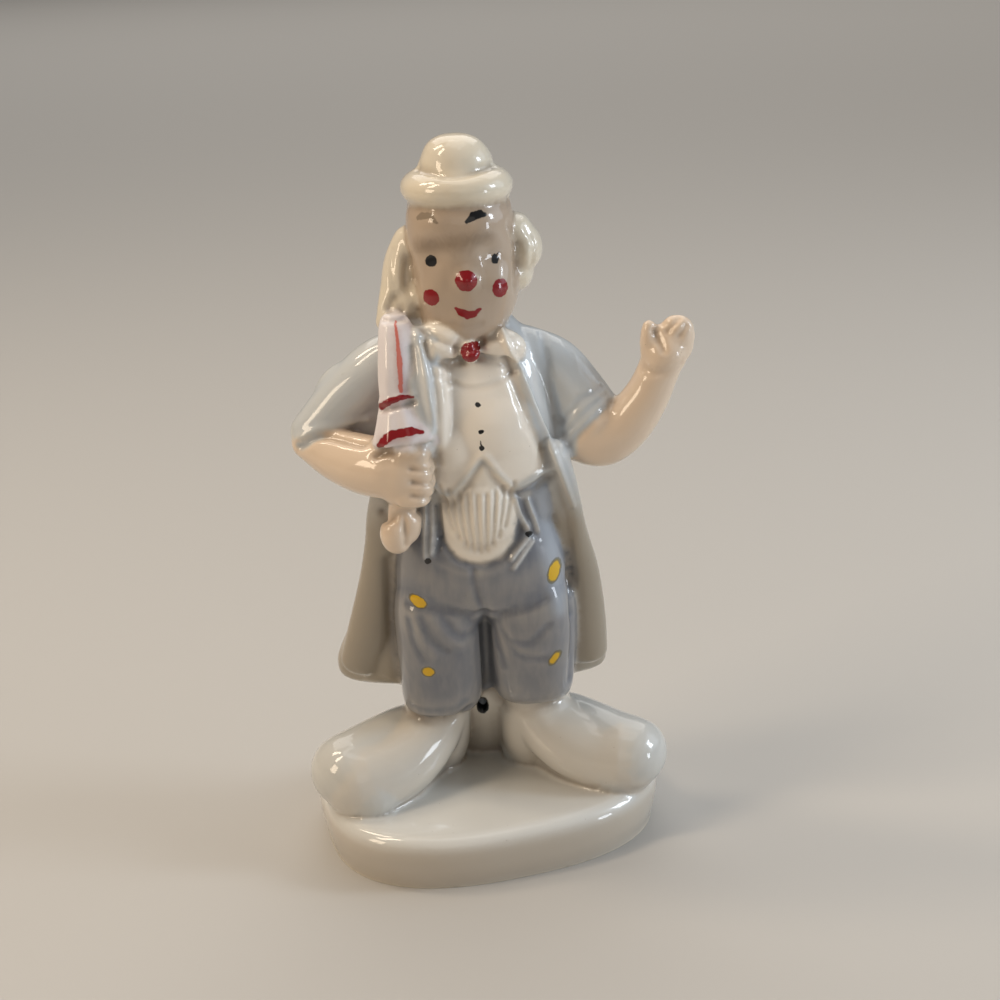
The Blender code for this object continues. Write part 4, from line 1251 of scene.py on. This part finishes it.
def makeGlazedCeramic():
    material = bpy.data.materials.new("glazedCeramic")
    material.use_nodes = True
    tree = material.node_tree
    surface = tree.nodes["Principled BSDF"]
    coordinates = tree.nodes.new("ShaderNodeTexCoord").outputs["Object"]
    spotGroup, strokeGroup, glazeGroup = makePaintedSpot(), makePaintedStroke(), makeBrushedGlaze()

    def place(group, **values):
        node = tree.nodes.new("ShaderNodeGroup")
        node.node_tree = group
        for label, value in values.items():
            feed(tree, node.inputs[label.replace("_", " ")], value)
        return node

    def attribute(name):
        node = tree.nodes.new("ShaderNodeAttribute")
        node.attribute_name = name
        return node.outputs["Fac"]

    brushed = place(glazeGroup, Vector=coordinates)
    wash, streaks = brushed.outputs["Wash"], brushed.outputs["Streaks"]
    # a shaky hand: the painted edges wander a little
    shake = addNoise(tree, coordinates, 900.0, 1.0)
    wander = addVector(tree, "SUBTRACT", shake.outputs["Color"], (0.5, 0.5, 0.5))
    wander = addVector(tree, "MULTIPLY", wander, (finish["shake"],) * 3)
    byHand = addVector(tree, "ADD", coordinates, wander)
    split = tree.nodes.new("ShaderNodeSeparateXYZ")
    tree.links.new(coordinates, split.inputs[0])
    front = addRange(tree, split.outputs["Y"], -0.0035, -0.0045)

    colour = addMix(tree, wash, glaze["cream"], glaze["creamCool"])
    for name, paint in (
        ("shirtPaint", "shirt"),
        ("plinthPaint", "plinth"),
        ("shoePaint", "shoes"),
        ("fleshPaint", "flesh"),
        # the face's colour carries painted shade
        ("facePaint", "face"),
        ("umbrellaPaint", "umbrella"),
    ):
        colour = addMix(tree, attribute(name), colour, glaze[paint])
    # the blue washes are thin on the crests and along the streaks
    thin = addMath(tree, "MULTIPLY", streaks, finish["streaksThin"])
    onCrests = addMath(tree, "MULTIPLY", attribute("crest"), finish["crestsThin"])
    thin = addMath(tree, "ADD", thin, onCrests)
    for name, paint in (("coatPaint", "coat"), ("trouserPaint", "trousers")):
        strength = addMath(tree, "MULTIPLY", attribute(name), addMath(tree, "SUBTRACT", 1.0, thin))
        colour = addMix(tree, strength, colour, glaze[paint])
    colour = addMix(tree, attribute("tailShadePaint"), colour, glaze["tailShade"])
    colour = addMix(tree, attribute("plinthSideShade"), colour, glaze["plinthSide"])
    # the hollows darken: glaze lies thick there, and painted shade darkens them as well, nearly
    # black on the trousers
    poolAndShade = addMath(tree, "POWER", attribute("hollow"), finish["poolAndShadeCurve"])
    poolAndShade = addMath(tree, "MULTIPLY", poolAndShade, finish["poolAndShadeStrength"])
    deep = addMix(tree, attribute("trouserPaint"), glaze["poolAndShade"], glaze["trousersPoolAndShade"])
    colour = addMix(tree, poolAndShade, colour, deep)

    def joined(masks):
        total = masks[0]
        for mask in masks[1:]:
            total = addMath(tree, "MAXIMUM", total, mask)
        return addMath(tree, "MULTIPLY", total, front)

    for name, paint in (
        ("poolAndShadeStrokes", "poolAndShade"),
        ("eyeShadeBand", "poolAndShade"),
        ("lapelWash", "lapel"),
        ("paleStrapAndHipSheen", "paleStrapAndHipSheen"),
        ("strapHighlight", "strapHighlight"),
        ("redBleed", "red"),
    ):
        colour = addMix(tree, attribute(name), colour, glaze[paint])

    masks = {name: [] for name in ("red", "thinRed", "black", "brow", "yellow")}
    rims = []
    for name, rows in spots.items():
        for x, z, wide, high, turn in rows:
            node = place(
                spotGroup,
                Vector=byHand,
                Place=spot(x, 0, z),
                Half_Width=wide / 1000,
                Half_Height=high / 1000,
                Turn=math.radians(turn),
                Edge=0.00010,
            )
            masks[name].append(node.outputs["Spot"])
            if name == "yellow":
                rims.append(node.outputs["Rim"])
    for name, rows in strokes.items():
        for x1, z1, x2, z2, start, end in rows:
            node = place(
                strokeGroup,
                Vector=byHand,
                From=spot(x1, 0, z1),
                To=spot(x2, 0, z2),
                Start_Width=start / 1000,
                End_Width=end / 1000,
                Edge=0.00013,
            )
            masks[name].append(node.outputs["Stroke"])
    for name in ("yellow", "red", "thinRed", "brow", "black"):
        colour = addMix(tree, joined(masks[name]), colour, glaze[name])
    rim = addMath(tree, "MULTIPLY", joined(rims), finish["rims"])
    colour = addMix(tree, rim, colour, glaze["outline"])
    # the vent's mouth is black round a grey middle: painted shade on the hole's wall round painted
    # light inside
    mouth = place(
        spotGroup,
        Vector=byHand,
        Place=spot(vent["x"], 0, vent["z"]),
        Half_Width=vent["width"] / 2,
        Half_Height=vent["height"] / 2,
        Edge=0.00014,
    )
    near = addRange(tree, split.outputs["Y"], 0.0045, 0.0035)
    middle = addMath(tree, "MULTIPLY", mouth.outputs["Spot"], near)
    colour = addMix(tree, middle, colour, glaze["ventInsideLit"])
    ring = addMath(tree, "MULTIPLY", mouth.outputs["Rim"], near)
    colour = addMix(tree, ring, colour, glaze["black"])
    specks = addMath(tree, "MULTIPLY", brushed.outputs["Specks"], finish["specks"])
    colour = addMix(tree, specks, colour, glaze["poolAndShade"])

    # the foot is wiped clean of glaze and stays bare biscuit
    foot = addRange(tree, split.outputs["Z"], 0.0006, 0.0001)
    colour = addMix(tree, foot, colour, glaze["biscuit"])
    tree.links.new(colour, surface.inputs["Base Color"])
    rough = addMath(tree, "MULTIPLY", wash, 0.12)
    rough = addMath(tree, "ADD", rough, addMath(tree, "MULTIPLY", foot, 0.45))
    rough = addMath(tree, "ADD", rough, finish["roughness"])
    tree.links.new(rough, surface.inputs["Roughness"])
    tree.links.new(addMath(tree, "SUBTRACT", 1.0, foot), surface.inputs["Coat Weight"])
    surface.inputs["Coat Roughness"].default_value = finish["coatRoughness"]
    surface.inputs["Coat IOR"].default_value = finish["coatIor"]
    surface.inputs["IOR"].default_value = finish["ior"]
    surface.inputs["Specular IOR Level"].default_value = finish["sheen"]

    bump = tree.nodes.new("ShaderNodeBump")
    bump.inputs["Strength"].default_value = finish["ripple"]
    bump.inputs["Distance"].default_value = finish["rippleDepth"]
    tree.links.new(brushed.outputs["Ripple"], bump.inputs["Height"])
    tree.links.new(bump.outputs["Normal"], surface.inputs["Normal"])
    return material


print("glaze")
for face in castMesh.polygons:
    face.use_smooth = True
castMesh.materials.clear()
castMesh.materials.append(makeGlazedCeramic())
castMesh.name = "paintedFigurine"
figurine = bpy.data.objects.new("paintedFigurine", castMesh)
bpy.context.scene.collection.objects.link(figurine)
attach(figurine, "root")
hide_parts("clown_figurine")

warm, cool = (1.0, 0.84, 0.65), (0.82, 0.91, 1.0)
figureMiddle = (0, 0, 0.08)

studio = {
    "floorSize": 16.0,
    "floor": (0.52, 0.50, 0.47, 1),
    "world": (0.86, 0.83, 0.80, 1),
    "worldStrength": 0.18,
    # name: place, what it faces, size, power, colour
    "lights": {
        "warmWindowLeft": ((-0.51, 0.14, 0.82), figureMiddle, (0.12, 0.36), 1.8, warm),
        "warmWindowRight": ((-0.51, -0.17, 0.82), figureMiddle, (0.12, 0.36), 1.8, warm),
        "warmLow": ((-0.72, -0.40, 0.44), figureMiddle, (0.24, 0.30), 1.9, (1.0, 0.81, 0.60)),
        "coolWindow": ((0.76, -0.08, 0.42), figureMiddle, (0.17, 0.25), 2.0, cool),
        "narrowWindow": ((0.70, -0.36, 0.11), (0, 0, 0.10), (0.13, 0.19), 0.8, (0.85, 0.92, 1.0)),
        "coolSky": ((0.92, 0.05, 0.46), figureMiddle, (0.80, 0.70), 2.0, (0.76, 0.87, 1.0)),
        "softTop": ((0.05, 0.10, 1.00), figureMiddle, (0.60, 0.60), 1.3, (1.0, 0.97, 0.93)),
        "softFront": ((0.10, -0.90, 0.50), figureMiddle, (0.50, 0.50), 0.34, (1.0, 0.92, 0.82)),
        "farFloor": ((0.0, 2.6, 2.4), (0, 2.4, 0), (4.0, 3.0), 50.0, (1.0, 0.97, 0.93)),
    },
}


def makeStudio():
    floor = bmesh.new()
    bmesh.ops.create_grid(floor, x_segments=1, y_segments=1, size=studio["floorSize"] / 2)
    mesh = bpy.data.meshes.new("paleFloor")
    floor.to_mesh(mesh)
    floor.free()
    material = bpy.data.materials.new("palePaper")
    material.use_nodes = True
    surface = material.node_tree.nodes["Principled BSDF"]
    surface.inputs["Base Color"].default_value = studio["floor"]
    surface.inputs["Roughness"].default_value = 0.75
    mesh.materials.append(material)
    sheet = bpy.data.objects.new("paleFloor", mesh)
    bpy.context.scene.collection.objects.link(sheet)

    world = bpy.data.worlds.new("studio")
    world.use_nodes = True
    world.node_tree.nodes["Background"].inputs["Color"].default_value = studio["world"]
    world.node_tree.nodes["Background"].inputs["Strength"].default_value = studio["worldStrength"]
    bpy.context.scene.world = world
    bpy.context.scene.view_settings.view_transform = "Standard"

    for name, (place, faced, size, power, tint) in studio["lights"].items():
        lamp = bpy.data.lights.new(name, "AREA")
        lamp.shape = "RECTANGLE"
        lamp.size, lamp.size_y = size
        lamp.energy = power
        lamp.color = tint
        holder = bpy.data.objects.new(name, lamp)
        holder.location = place
        aim = Vector(faced) - Vector(place)
        holder.rotation_euler = aim.to_track_quat("-Z", "Y").to_euler()
        bpy.context.scene.collection.objects.link(holder)


view = {
    "place": (0.00622, -0.36089, 0.21269),
    "elevation": 20.0,
    "roll": 2.8,
    "lens": 60.5,
    "sensor": 36.0,
}


def makeCamera():
    lens = bpy.data.cameras.new("photoView")
    lens.lens = view["lens"]
    lens.sensor_width = view["sensor"]
    lens.clip_start = 0.02
    holder = bpy.data.objects.new("photoView", lens)
    tilt = math.radians(view["elevation"])
    roll = math.radians(view["roll"])
    back = Vector((0, -math.cos(tilt), math.sin(tilt)))
    right = (-back).cross(Vector((0, 0, 1))).normalized()
    up = right.cross(-back)
    rolledRight = right * math.cos(roll) - up * math.sin(roll)
    rolledUp = right * math.sin(roll) + up * math.cos(roll)
    turn = Matrix((rolledRight, rolledUp, back)).transposed().to_4x4()
    holder.matrix_world = Matrix.Translation(view["place"]) @ turn
    bpy.context.scene.collection.objects.link(holder)
    bpy.context.scene.camera = holder


print("studio")
makeStudio()
makeCamera()
